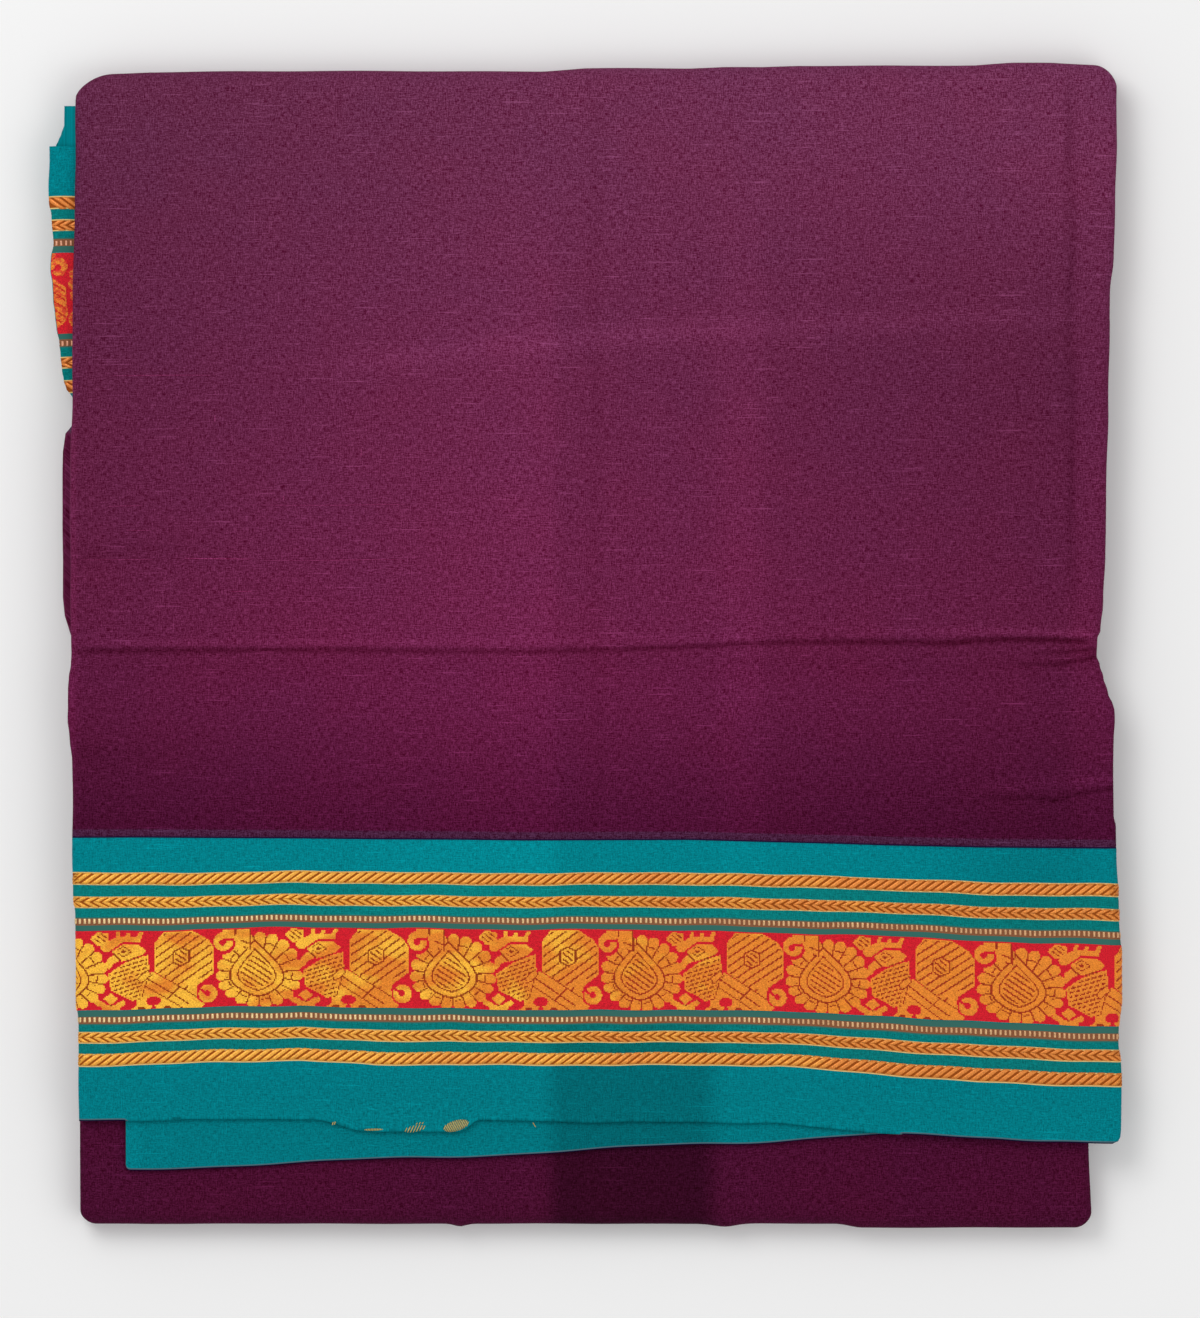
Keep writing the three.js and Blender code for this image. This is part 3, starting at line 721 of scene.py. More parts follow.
def band_weave(name, golds, lines, worn=0.0):
    """The figured band: gold floats on a red ground. The stored charge says which is on top in each cell."""
    look = Look(name, 0.5, OBJECT_SPACE, gleam=0.1)
    along = from_left(look, (70, 120, 40), 0.32, 0.68, -0.45, 0.5)
    # Painted sheen: the gold is brighter and yellower to the left, in soft patches
    gold = look.ramp(along, list(zip((0.0, 0.45, 0.9), golds)))
    line = look.ramp(along, list(zip((0.1, 0.9), lines)))
    charge = look.channels(look.stored("charge"))
    shown = charge["Red"]
    if worn:
        rubbed = look.spread(look.noise((700, 900, 500), 2, 0.6), 0.42, 0.56, 1 - worn, 1)
        shown = look.calculate("MULTIPLY", shown, rubbed)
    colour = look.blend("MIX", shown, RED, gold)
    colour = look.blend("MIX", charge["Green"], colour, line)
    return glitter(look, colour, (2400, 3600, 800), 0.5, 1.5, 0.08)


def dress(piece, look, slot, *nodes):
    """Gives a piece its cloth, its body, and the solids that it stands for. slot is not used."""
    piece.data.materials.clear()
    piece.data.materials.append(look)
    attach(piece, "root")
    if nodes:
        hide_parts(*nodes)
    return piece


def colour_and_dress(piece, tone, look, slot, *nodes):
    """Dresses a piece of cloth. tone works out the colours of its points from where they lie."""
    paint(piece, tone(points_of(piece)))
    return dress(piece, look, slot, *nodes)


PLUM = field_cloth()
TEAL = border_cloth()
GOLD = gold_thread("gold_thread", shade(240, 170, 60), shade(220, 130, 48))
PALE_GOLD = gold_thread("pale_gold_thread", SILVER_GOLD, shade(206, 158, 112))
OLIVE_GOLD = gold_thread("olive_gold_thread", shade(190, 168, 92), shade(176, 150, 80))
WORN_GOLD = gold_thread("worn_gold_thread", shade(226, 132, 54), shade(206, 90, 40))
WORN_PALE = gold_thread("worn_pale_thread", shade(222, 160, 126), shade(206, 130, 100))
FIGURED = band_weave("figured_band", (GOLD_LEFT, GOLD_MIDDLE, GOLD_RIGHT), (GOLD_LINE_LEFT, GOLD_LINE_RIGHT))
FIGURED_WORN = band_weave("figured_band_worn", (shade(228, 132, 48), shade(222, 112, 42), shade(214, 98, 38)),
                          (shade(190, 40, 26), shade(180, 36, 26)), worn=0.75)


# The front third. Its rows lie closer together where creases cross it, and the last one lies no further
# than LAST_ROW from the fold
CREASED = [(-57, -44), (-13, 13)]
FIELD_ROW, FINE_ROW, LAST_ROW = 2.3, 0.55, 2.4


def field_rows(end):
    places = [0.0]
    while places[-1] < end - LAST_ROW:
        y = JUNCTION_Y + places[-1]
        fine = any(low < y < high for low, high in CREASED)
        places.append(places[-1] + (FINE_ROW if fine else FIELD_ROW))
    return np.array(places)


def front_field():
    flat, around = TOP_FOLD_Y - JUNCTION_Y, math.pi * TOP_FOLD
    under = np.linspace(flat + around, flat + around + FOLD_TAIL, 10)
    s = np.concatenate([field_rows(flat), np.linspace(flat, flat + around, 24)[:-1], under])
    turn = np.clip((s - flat) / around, 0, 1)
    angle = np.pi * turn
    y = JUNCTION_Y + np.minimum(s, flat) + TOP_FOLD * np.sin(angle) - np.maximum(0, s - flat - around)
    z = np.where(turn > 0, TOP_FOLD + TOP_FOLD * np.cos(angle), crown(y))
    out_y, out_z = np.where(turn > 0, np.sin(angle), 0), np.where(turn > 0, np.cos(angle), 1)
    u, x, drop = lay_across(front_left(y), front_right(y), 2.2)
    yy = y[:, None] + rise(x, np.zeros_like(x)) * smooth(1 - s / 26)[:, None]
    lift = (-side_fall(x, yy) + swell(x, yy) - creases(x, yy)) * (1 - turn)[:, None] ** 0.7
    sunk = 0.05 * smooth((s[:, None] - flat) / 12)
    tilt = np.interp(x, *zip(*TOP_EDGE)) + wave(x, 0.12, 21) + wave(x, 0.08, 7)
    points = lift_off(x, yy, z, out_y, out_z, lift - sunk + tilt * np.sin(angle)[:, None] - drop)
    piece = sheet_mesh("front_field", points, u, np.broadcast_to(s[:, None], x.shape))
    colour_and_dress(piece, crease_shaded_tone, PLUM, "field_cloth", "front_field")
    shown = [slubs()]


# Thick places in the threads, which show as light dashes: which way each runs, its middle's x and y, its
# length, and how much lighter it is
SLUBS = [
    ("across", -142.3, 91.0, 34, 1.35),
    ("across", -154.0, 47.3, 12, 1.3),
    ("across", -88.0, 47.9, 58, 1.2),
    ("across", -157.0, 29.2, 26, 1.25),
    ("across", -122.6, 29.9, 24, 1.55),
    ("across", -84.0, 29.4, 48, 1.2),
    ("across", -149.5, 39.4, 9, 1.25),
    ("across", -115.0, 18.9, 8, 1.4),
    ("up", -124.0, 76.6, 2.6, 1.5),
    ("up", -75.0, 65.4, 3.4, 1.35),
    ("up", -101.0, 50.0, 1.6, 1.5),
]


def slubs():
    threads = []
    for way, middle_x, middle_y, long, light in SLUBS:
        piece = thread_float(long, THREAD, 0.2, 0.0, cuts=max(4, int(long)))
        co = points_of(piece)
        co[:, 0] *= 0.3 + 0.7 * np.sqrt(np.maximum(0, 1 - (2 * co[:, 1] / long) ** 2))
        if way == "across":
            co[:, :2] = np.stack([co[:, 1], -co[:, 0]], -1)
        x, y = co[:, 0] + middle_x, co[:, 1] + middle_y
        y = y + wave(x, 0.25, 17, middle_y)
        set_points(piece.data, np.stack([x, y, top_surface(x, y) + co[:, 2] + 0.05], -1))
        paint(piece, plum_tone(x, y) * light * 1.25)
        lay_uv(piece.data, x, y + 100)
        threads.append(piece)
    piece = join(threads, "slubs")
    piece.data.shade_smooth()
    return dress(piece, PLUM, "field_cloth")


def on_border(u, at, lift):
    """Where a point of the flat border lies on the pack. lift is its height above the cloth."""
    y = border_y(u, at)
    into = np.clip((at - BORDER_WIDTH) / LOW_CORNER + 1, 0, 1)
    left, right = front_left(y), front_right(y) - LOW_CORNER * (1 - np.sqrt(1 - into * into))
    # Towards the front edge the sides curl down less
    easing = 1 - 0.75 * smooth((at - 54) / 26)
    x, drop, outward, upward = wrap(u, left, right)
    y = border_y(x, at)
    z = top_surface(x, y) - drop * easing + lift * upward
    return np.stack([x + lift * outward, y, z], -1)


def border_span():
    """The flat border's reach from one curled edge to the other, at the figured band."""
    y = border_y(np.zeros(1), np.array([BAND["at"]]))
    return flat_reach(front_left(y)[0], front_right(y)[0])


def front_border():
    at = np.append(np.arange(0, BORDER_WIDTH, 1.25), BORDER_WIDTH)
    y = border_y(np.zeros_like(at), at)
    u = columns_across(front_left(y), front_right(y), 1.6)
    down = np.broadcast_to(at[:, None], u.shape)
    points = on_border(u, down, 0.0)
    # Over the second layer the edge shows neither the pale line nor the painted shadow line
    over_second = (u > SECOND["left"] - 0.3) & (u < BARE_FROM)
    down = np.where(over_second, np.minimum(down, BORDER_WIDTH - PALE_AND_SHADOW_LINES[0] - 0.05), down)
    piece = sheet_mesh("front_border", points, u, down, outward=-1)
    colour_and_dress(piece, lambda co: teal_tone(co[:, 0], co[:, 1]), TEAL, "border_cloth", "front_border")
    start, end = border_span()
    trims = thread_lines("front", start, end, on_border, GOLD, PALE_GOLD)
    trims.append(figured_band("front_band", start, end, on_border, FIGURED))
    trims.append(gold_glimpses())


# Gold thread lines: one float of each kind is modelled, repeated along the line, and laid on the cloth
def thread_float(length, width, height, lean, cuts=3):
    """One raised float of thread, narrower on top, leaning by so much from its lower end to its upper end."""
    deselect()
    bpy.ops.mesh.primitive_cube_add(size=1)
    piece = bpy.context.object
    bpy.ops.object.mode_set(mode="EDIT")
    bpy.ops.transform.resize(value=(width * MM, length * MM, height * MM), center_override=(0, 0, 0))
    bpy.ops.mesh.select_all(action="DESELECT")
    bpy.ops.object.mode_set(mode="OBJECT")
    co = points_of(piece)
    for edge in piece.data.edges:
        a, b = edge.vertices
        edge.select = bool(abs(co[a][1] - co[b][1]) > length / 2)
    bpy.ops.object.mode_set(mode="EDIT")
    bpy.ops.mesh.select_mode(type="EDGE")
    bpy.ops.mesh.subdivide(number_cuts=cuts)
    bpy.ops.object.mode_set(mode="OBJECT")
    co = points_of(piece)
    top = co[:, 2] > 0
    co[top, 0] *= 0.62
    co[:, 0] += lean * co[:, 1] / length
    set_points(piece.data, co)
    return piece


def repeat(piece, pitch, count):
    row = piece.modifiers.new("repeat", "ARRAY")
    row.count = count
    row.use_relative_offset = False
    row.use_constant_offset = True
    row.constant_offset_displace = (pitch * MM, 0, 0)
    apply_modifiers(piece)
    return piece


def join(pieces, name):
    deselect()
    for piece in pieces:
        piece.select_set(True)
    bpy.context.view_layer.objects.active = pieces[0]
    bpy.ops.object.join()
    pieces[0].name = pieces[0].data.name = name
    return pieces[0]


def repeat_of(kind, wide, pitch):
    """What one repeat of a line holds: a slanted float, two that meet in an arrow, or a dot."""
    share, height = DOT_FLOAT if kind == "dot" else ROPE_FLOAT
    if kind == "rope":
        return thread_float(wide - 0.5, pitch * share, height, wide * 1.2)
    if kind == "dot":
        return thread_float(wide * 0.8, pitch * share, height, 0.0)
    halves = []
    for side in (-1, 1):
        half = thread_float(wide * 0.5 - 0.25, pitch * share, height, side * wide * 0.8)
        co = points_of(half)
        co[:, 1] += side * (wide * 0.25 - 0.1)
        set_points(half.data, co)
        halves.append(half)
    return join(halves, "row")


def thread_line(kind, line, pitch, start, end, place, seed):
    """A line of floats, each a little uneven in height and place."""
    count = int((end - start) / pitch)
    row = repeat(repeat_of(kind, line["wide"], pitch), pitch, count)
    co = points_of(row)
    uneven = np.random.default_rng(seed)
    number = np.arange(len(co)) // (len(co) // count)
    height = uneven.uniform(0.75, 1.1, count)[number]
    shift = uneven.uniform(-0.1, 0.1, count)[number]
    u = start + pitch / 2 + co[:, 0] + shift
    at = line["at"] + line["wide"] / 2 - co[:, 1]
    set_points(row.data, place(u, at, (co[:, 2] + 0.1) * height))
    return row


LINE_KINDS = [("rope", ROPES, ROPE_PITCH), ("chevron", CHEVRONS, ROPE_PITCH), ("dot", DOTS, DOT_PITCH)]


def thread_lines(prefix, start, end, place, gold, pale):
    """Both lines of each kind, laid by place, from start to end."""
    made = []
    for kind, lines, pitch in LINE_KINDS:
        rows = [thread_line(kind, line, pitch, start, end, place, 7 + i) for i, line in enumerate(lines)]
        piece = join(rows, prefix + "_" + kind + "s")
        piece.data.shade_smooth()
        made.append(dress(piece, pale if kind == "dot" else gold, "border_cloth"))
    return made


# The figured band, charted by shape: a peacock and a round flower in turn. p runs to the right from the
# middle of the bird's tail and t down from the band's top edge, in millimetres
REPEAT = 63.4
TAILS = [-200.6, -135.3, -70.0, -5.7, 55.9, 119.3, 186.3]
CHART_TALL = 26.0
CELL = 0.43
LINE_HEIGHT, GOLD_HEIGHT, GROUND_HEIGHT = 0.1, 0.26, 0.06
TAIL = [(-8.6, 13.6), (-8.6, 3.9), (-5.8, 0.5), (3.7, 0.5), (8.8, 3.4), (10.6, 6.1), (10.6, 14.6),
        (5.4, 18.4), (4.9, 20.4), (6.6, 24.2)]
WING = [(-9.4, 13.4), (8.0, 24.4), (6.4, 26.2), (1.2, 26.2), (-13.4, 16.9)]
SHOULDER = [(-14.0, 15.6), (-10.8, 13.0), (-10.0, 14.5), (-13.2, 17.1)]
BODY = [(-23.8, 14.3), (-22.9, 19.6), (-18.8, 21.4), (-16.0, 23.0), (-13.0, 22.0), (-10.4, 13.0),
        (-10.8, 7.9), (-14.8, 8.9), (-18.4, 10.6)]
UNDERSIDE = [(-14.4, 22.0), (-13.0, 15.6), (2.6, 26.2), (-16.6, 26.2), (-14.4, 24.4)]
HEAD = [(-22.4, 6.8), (-19.6, 4.5), (-13.9, 4.4), (-11.5, 6.5), (-13.0, 8.0), (-16.2, 9.5), (-19.4, 10.1),
        (-21.8, 8.8)]
BEAK = [(-21.9, 7.9), (-24.2, 9.6), (-24.5, 11.5), (-23.7, 12.8), (-22.9, 12.2), (-22.2, 11.0), (-19.6, 9.8)]
CREST = [(-25.9, 5.6), (-25.0, 7.0), (-23.5, 6.9), (-18.9, 3.7), (-13.3, 3.8), (-13.0, 2.2), (-20.9, 2.1),
         (-23.6, 3.4)]
CREST_TIPS = [((-20.8, 2.6), (-20.5, 0.6)), ((-17.7, 2.6), (-17.2, 1.3)), ((-14.2, 2.6), (-13.0, 0.6))]
GROUND_LEAVES = [((-25.4, 24.4), (-27.3, 23.5)), ((-20.6, 24.4), (-18.9, 23.6)),
                 ((-25.0, 25.3), (-20.6, 25.3))]
FLOWER = {"x": 25.5, "t": 15.0, "wide": 14.3, "above": 13.4, "below": 11.5, "petals": 19}


class Chart:
    """Gold and line marks, laid down one shape after another."""

    def __init__(self, p, t):
        self.p, self.t = p, t
        self.gold = np.zeros(p.shape, bool)
        self.line = np.zeros(p.shape, bool)

    def inside(self, corners):
        """Whether each place lies within a closed outline."""
        p, t = self.p, self.t
        within = np.zeros(p.shape, bool)
        for (x0, y0), (x1, y1) in zip(corners, corners[1:] + corners[:1]):
            if y0 != y1:
                within ^= ((y0 > t) != (y1 > t)) & (p < x0 + (t - y0) * (x1 - x0) / (y1 - y0))
        return within

    def stroke(self, start, end):
        """Distance from a straight stroke."""
        (x0, y0), (x1, y1) = start, end
        along = (self.p - x0) * (x1 - x0) + (self.t - y0) * (y1 - y0)
        share = np.clip(along / ((x1 - x0) ** 2 + (y1 - y0) ** 2), 0, 1)
        return np.hypot(self.p - mix(x0, x1, share), self.t - mix(y0, y1, share))

    def oval(self, x, y, half_wide, half_tall):
        return np.hypot((self.p - x) / half_wide, (self.t - y) / half_tall)

    def hatch(self, slope, pitch, wide=0.54, start=0.0):
        """Thin lines at a slope."""
        return np.mod((self.t - start - self.p * slope) / math.sqrt(1 + slope * slope), pitch) < wide

    def lay(self, where):
        self.gold |= where
        self.line &= ~where

    def mark(self, where):
        self.line |= where & self.gold

    def draw(self, start, end, half_wide):
        """A straight line on the gold."""
        self.mark(self.stroke(start, end) < half_wide)

    def clear(self, where):
        self.gold &= ~where
        self.line &= ~where

    def patch(self, corners, parted=0.34):
        """A gold shape, parted from what it lies on by a line. Gives the part of it that takes marks."""
        near = np.min([self.stroke(a, b) for a, b in zip(corners, corners[1:] + corners[:1])], axis=0)
        within = self.inside(corners)
        self.mark((near < parted) & ~within)
        self.lay(within)
        return within & (near > 0.5)


def chart_bird(c):
    p, t = c.p, c.t
    # The underside and the feet
    c.lay(c.inside(UNDERSIDE))
    c.clear(c.oval(-9.0, 23.3, 2.4, 1.6) < 1)
    c.clear(c.oval(-9.0, 25.8, 0.9, 0.8) < 1)
    for foot in (-13.0, -4.6):
        c.mark(c.oval(foot, 26.0, 1.3, 1.0) < 1)
    # The tail, hatched, with a six-sided eye
    within = c.patch(TAIL)
    plain = (p > 2) & (t > 17.6 - 0.35 * (p - 2))
    c.mark(c.hatch(-0.68, 2.36) & within & ~plain)
    eye = np.maximum(np.abs(p), np.abs(p) * 0.42 + np.abs(t - 8.9) * 0.86)
    c.lay(eye < 2.9)
    c.mark((eye > 2.35) & (eye < 2.85))
    c.mark(c.hatch(0.72, 1.5, start=8.7) & (eye < 1.9))
    # The wing, in two bars with a shoulder
    c.patch(WING)
    c.mark((c.stroke((-11.0, 15.7), (2.6, 24.6)) < 0.24) & c.inside(WING))
    c.mark((c.stroke((-0.5, 19.0), (-4.3, 22.7)) < 0.26) & c.inside(WING))
    # The body, in short broken rows
    within = c.patch(BODY)
    c.mark(c.hatch(-0.32, 1.3) & within & (np.mod(p * 1.05 + t * 0.34, 1.9) > 0.5))
    c.patch(SHOULDER)
    # The head, beak and crest
    c.lay(c.inside(HEAD) | c.inside(BEAK))
    eye = np.abs(p + 18.8) * 0.62 + np.abs(t - 6.9)
    c.mark((eye < 0.62) | ((eye > 1.5) & (eye < 1.86) & (p > -20.6) & (p < -14.5)))
    c.draw((-22.0, 7.8), (-19.8, 9.8), 0.28)
    c.draw((-18.6, 10.3), (-11.4, 7.6), 0.3)
    c.clear(c.stroke((-24.2, 7.7), (-19.2, 4.4)) < 0.26)
    c.draw((-19.2, 4.4), (-12.6, 4.4), 0.26)
    under_crest = 4.2 + 0.8 * (p < -19.2) * (-19.2 - p)
    c.lay((c.inside(CREST) & (t < under_crest)) | (c.oval(-24.6, 5.6, 1.5, 1.4) < 1))
    for base, tip in CREST_TIPS:
        c.lay(c.stroke(base, tip) < 0.62)
    # The scroll behind the tail
    c.clear((c.oval(8.7, 21.2, 3.9, 3.6) < 1) & (t > 18.4) & (p > 5.2))
    c.lay((c.oval(8.7, 21.4, 3.0, 3.0) < 1) & (c.oval(8.5, 21.2, 1.05, 1.0) > 1))
    c.clear((c.stroke((5.6, 19.4), (8.3, 21.3)) < 0.42) & (t < 21.6))
    # What stands on the ground line, and the bud over the beak
    diamond = np.abs(p + 22.9) / 2.4 + np.abs(t - 22.3) / 1.9
    for base, tip in GROUND_LEAVES:
        c.lay(c.stroke(base, tip) < 0.85)
    c.mark(diamond < 1.3)
    c.lay(diamond < 1)
    c.lay(c.oval(-26.2, 2.6, 2.9, 2.25) + 0.1 * np.cos(5 * np.arctan2(t - 2.6, p + 26.2)) < 1)
    c.mark(c.hatch(0.75, 1.25, 0.4) & (c.oval(-26.2, 2.6, 2.1, 1.6) < 1))


def drop_shape(c, tip, foot, half_wide):
    """A drop with its point at the top: the share of its half width that each place lies out."""
    p, t = c.p, c.t
    down = np.clip((t - tip) / (foot - tip), 0.001, 0.999)
    lean = FLOWER["x"] - 0.5 - 1.1 * (1 - down)
    out = np.abs(p - lean) / (half_wide * np.sin(np.pi * down**1.5) ** 0.7)
    return np.where((t > tip) & (t < foot), out, 9)


def chart_flower(c):
    p, t = c.p, c.t
    dx, dy = p - FLOWER["x"], t - FLOWER["t"]
    tall = np.where(dy > 0, FLOWER["below"], FLOWER["above"])
    reach = np.hypot(dx / FLOWER["wide"], dy / tall)
    around = np.arctan2(dy / tall, dx / FLOWER["wide"])
    lobe = np.abs(np.sin(around * FLOWER["petals"] / 2 + 0.7))
    c.lay((reach < 0.86 + 0.14 * lobe**0.6) & (t > 0.4) & (t < 25.8))
    c.mark((lobe < 0.17 / np.maximum(reach, 0.4)) & (reach > 0.5))
    c.mark((np.abs(reach - 0.74) < 0.016) & (lobe > 0.5) & (np.sin(around * 9.5) > -0.2))
    # The drop in its ring
    outer = drop_shape(c, 4.6, 22.3, 8.4)
    inner = drop_shape(c, 7.6, 20.4, 5.9)
    c.mark(drop_shape(c, 3.9, 22.9, 9.0) < 1)
    c.lay(outer < 1)
    c.mark(drop_shape(c, 6.9, 20.9, 6.4) < 1)
    c.lay(inner < 1)
    c.mark(c.hatch(0.64, 1.62) & (drop_shape(c, 8.6, 19.8, 5.2) < 1))
    # The scroll and the bars at the top left
    c.clear(c.oval(13.7, 4.6, 4.1, 4.0) < 1)
    c.lay(c.inside([(13.4, 0.5), (22.6, 0.5), (22.6, 6.6), (17.9, 5.6), (16.9, 2.8), (13.4, 2.6)]))
    c.lay((c.oval(13.7, 4.3, 3.2, 3.1) < 1) & (c.oval(13.5, 4.6, 1.15, 1.1) > 1))
    c.clear(c.stroke((13.6, 3.7), (17.0, 3.7)) < 0.3)
    c.draw((22.5, 0.4), (22.5, 7.0), 0.28)
    c.draw((17.6, 0.4), (17.6, 2.2), 0.26)
    c.draw((19.4, 4.2), (22.0, 5.2), 0.24)


def band_chart(u, at):
    """Which cells of the band show gold, and which a dark line."""
    along = np.interp(u, TAILS, np.arange(len(TAILS)) * REPEAT)
    p = np.mod(along + REPEAT / 2, REPEAT) - REPEAT / 2
    t = (at - BAND["at"]) * CHART_TALL / BAND["wide"]
    gold, line = np.zeros(u.shape, bool), np.zeros(u.shape, bool)
    for shift in (-REPEAT, 0, REPEAT):
        chart = Chart(p + shift, t)
        chart_flower(chart)
        chart_bird(chart)
        gold |= chart.gold
        line = (line & ~chart.gold) | chart.line
    outside = (t < 0.3) | (t > CHART_TALL - 0.3)
    return gold & ~outside, line & ~outside


def figured_band(name, start, end, place, look):
    """The band as a thin raised weave, cell by cell."""
    columns = int((end - start) / CELL)
    rows = int(BAND["wide"] / CELL)
    cell_u = start + (np.arange(columns) + 0.5) * CELL
    cell_at = BAND["at"] + (np.arange(rows) + 0.5) * CELL
    uu, vv = np.meshgrid(cell_u, cell_at)
    gold, line = band_chart(uu, vv)
    height = np.where(line, LINE_HEIGHT, np.where(gold, GOLD_HEIGHT, GROUND_HEIGHT))
    padded = np.pad(height, 1, mode="edge")
    corner_height = (padded[1:, 1:] + padded[:-1, 1:] + padded[1:, :-1] + padded[:-1, :-1]) / 4
    u, at = np.meshgrid(start + np.arange(columns + 1) * CELL, BAND["at"] + np.arange(rows + 1) * CELL)
    points = place(u, at, corner_height + 0.04)
    piece = sheet_mesh(name, points, u, at, thickness=0, outward=-1)
    charge = piece.data.color_attributes.new(name="charge", type="FLOAT_COLOR", domain="CORNER")
    values = np.zeros((rows * columns, 4, 4))
    values[..., 0] = (gold & ~line).ravel()[:, None]
    values[..., 1] = line.ravel()[:, None]
    values[..., 3] = 1
    charge.data.foreach_set("color", values.ravel())
    return dress(piece, look, "border_cloth")


# Where the front edge's gold thread shows: x and y of each patch, its width and height, and its floats' lean
# and pitch
GLIMPSES = [
    (-43.2, -160.3, 8.2, 4.0, 1.7, 0.62),
    (-57.0, -161.3, 7.0, 2.4, 1.2, 0.95),
    (-55.4, -159.5, 3.0, 0.8, 0.5, 0.8),
    (-70.9, -161.6, 6.2, 0.7, 0.2, 0.5),
    (-84.2, -159.5, 1.4, 1.1, 0.3, 0.7),
    (-17.0, -160.0, 0.6, 1.5, -0.9, 0.6),
]


def gold_glimpses():
    """Leaf-shaped patches of floats, longest in the middle."""
    floats = []
    for middle_x, middle_y, wide, tall, lean, pitch in GLIMPSES:
        count = max(1, int(wide / pitch))
        for i in range(count):
            out = (i + 0.5) / count * 2 - 1
            share = math.sqrt(1 - out * out)
            piece = thread_float(tall * share, THREAD, 0.26, lean * share)
            co = points_of(piece)
            x = co[:, 0] + middle_x + out * wide / 2
            y = co[:, 1] + middle_y + out * lean * 0.35
            set_points(piece.data, np.stack([x, y, top_surface(x, y) + co[:, 2] + 0.08], -1))
            floats.append(piece)
    piece = join(floats, "gold_glimpses")
    piece.data.shade_smooth()
    return dress(piece, OLIVE_GOLD, "border_cloth")


# The second layer of border, under the first
def second_surface(x, y):
    limp = wave(x, 0.12, 17, y / 9) - 0.25 * smooth((-160 - y) / 12)
    z = crown(y) - side_fall(x, y) - WALL - GAP - 0.1 + limp
    return np.maximum(z, LOWER_HEIGHT + 0.15 + CLOTH)


def second_border():
    tucked_to, leaves, lowest = SECOND["tucked_to"], SECOND["leaves"], SECOND["lowest"]
    s = np.concatenate([np.linspace(tucked_to, leaves, 8)[:-1], np.linspace(leaves, lowest, 26)])
    near = SECOND["left"] + np.array([0, 0.3, 0.7, 1.1, 1.5])
    x = np.append(near[:-1], np.linspace(near[-1], SECOND["right"], 198))
    xx, yy = np.meshgrid(x, s)
    leaving = np.clip((leaves - yy) / (leaves - lowest), 0, 1)
    edge = read(SECOND_EDGE, xx) + wave(xx, 0.15, 14) + wave(xx, 0.1, 5.3)
    edge = edge + 1.3 * (1 - np.sqrt(1 - np.clip((near[-1] - xx) / 1.5, 0, 1) ** 2))
    yy = mix(yy + rise(xx, np.full_like(xx, 70.0)), edge, leaving)
    points = np.stack([xx, yy, second_surface(xx, yy)], -1)
    piece = sheet_mesh("second_border", points, xx, BORDER_WIDTH - (yy - edge), outward=-1)

    def tone(co):
        """Painted shade: a little darker than the layer on top, which lies over it, but for the free end at
        the left.
        """
        lighter = 0.93 + 0.1 * smooth((-148.5 - co[:, 0]) / 1.2)
        return teal_tone(co[:, 0], co[:, 1]) * lighter[:, None]

    colour_and_dress(piece, tone, TEAL, "border_cloth", "second_border")


# The inner third: the plum stretch below the border, with the bottom fold
def lower_field():
    tail, around = FOLD_TAIL, math.pi * BOTTOM_FOLD
    top = LOWER_TUCKED_TO - BOTTOM_FOLD_Y
    on_fold = np.linspace(tail, tail + around, 20)[:-1]
    upper = np.arange(tail + around, tail + around + top, 1.6)
    s = np.concatenate([np.linspace(0, tail, 8)[:-1], on_fold, upper])
    turn = np.clip((s - tail) / around, 0, 1)
    angle = np.pi * (1 - turn)
    below, above = np.maximum(0, tail - s), np.maximum(0, s - tail - around)
    y = BOTTOM_FOLD_Y + below - BOTTOM_FOLD * np.sin(angle) + above
    z = BOTTOM_FOLD + BOTTOM_FOLD * np.cos(angle)
    u, x, drop = lay_across(lower_left(y), lower_right(y), 1.75)
    bumps = 0.9 * hump(x, -42, 2.6) + 1.0 * hump(x, 47, 5) + 1.3 * smooth((x - 84) / 9)
    bumps = bumps + wave(x, 0.05, 13) + wave(x, 0.05, 5.7, 1) + 0.05
    on_top = smooth((turn[:, None] - 0.5) / 0.5)
    up = bumps * np.sin(angle)[:, None] + (wave(x, 0.12, 27, y[:, None] / 13) - 0.1) * on_top - drop
    points = lift_off(x, y[:, None], z, -np.sin(angle), np.cos(angle), up)
    piece = sheet_mesh("lower_field", points, u, CLEAR_OF_JOIN + np.broadcast_to(s[:, None], x.shape))
    # A little darker: painted shade below the ledge of the layers above
    colour_and_dress(piece, lambda co: turned_tone(co) * 0.97, PLUM, "field_cloth", "lower_field")


# The back third: the plain underside
def back_field():
    y = np.linspace(TOP_FOLD_Y - FOLD_TAIL - GAP, BOTTOM_FOLD_Y + FOLD_TAIL + GAP, 80)
    u, x, drop = lay_across(lower_left(y) + GAP, lower_right(y) - GAP, 2.2)
    yy = np.broadcast_to(y[:, None], x.shape)
    piece = sheet_mesh("back_field", np.stack([x, yy, drop], -1), u, CLEAR_OF_JOIN + yy - yy.min())
    # A little darker: painted shade on the underside
    colour_and_dress(piece, lambda co: turned_tone(co) * 0.98, PLUM, "field_cloth", "back_field")


# The inner third's border, peeping out at the left
def on_peep(u, at, lift):
    """u runs in from the outer edge, and at runs up from the inner junction."""
    y = INNER_JUNCTION_Y + at + wave(u, 0.15, 3.0)
    outer = read(PEEP, y) + wave(y, 0.08, 2.3) + wave(y, 0.15, 5.1)
    x = np.maximum(outer + u, outer)
    z = LOWER_HEIGHT - 0.35 - 0.5 * hump(u, 0, 1.6) + wave(y, 0.12, 6) + lift
    return np.stack([x, y, z], -1)


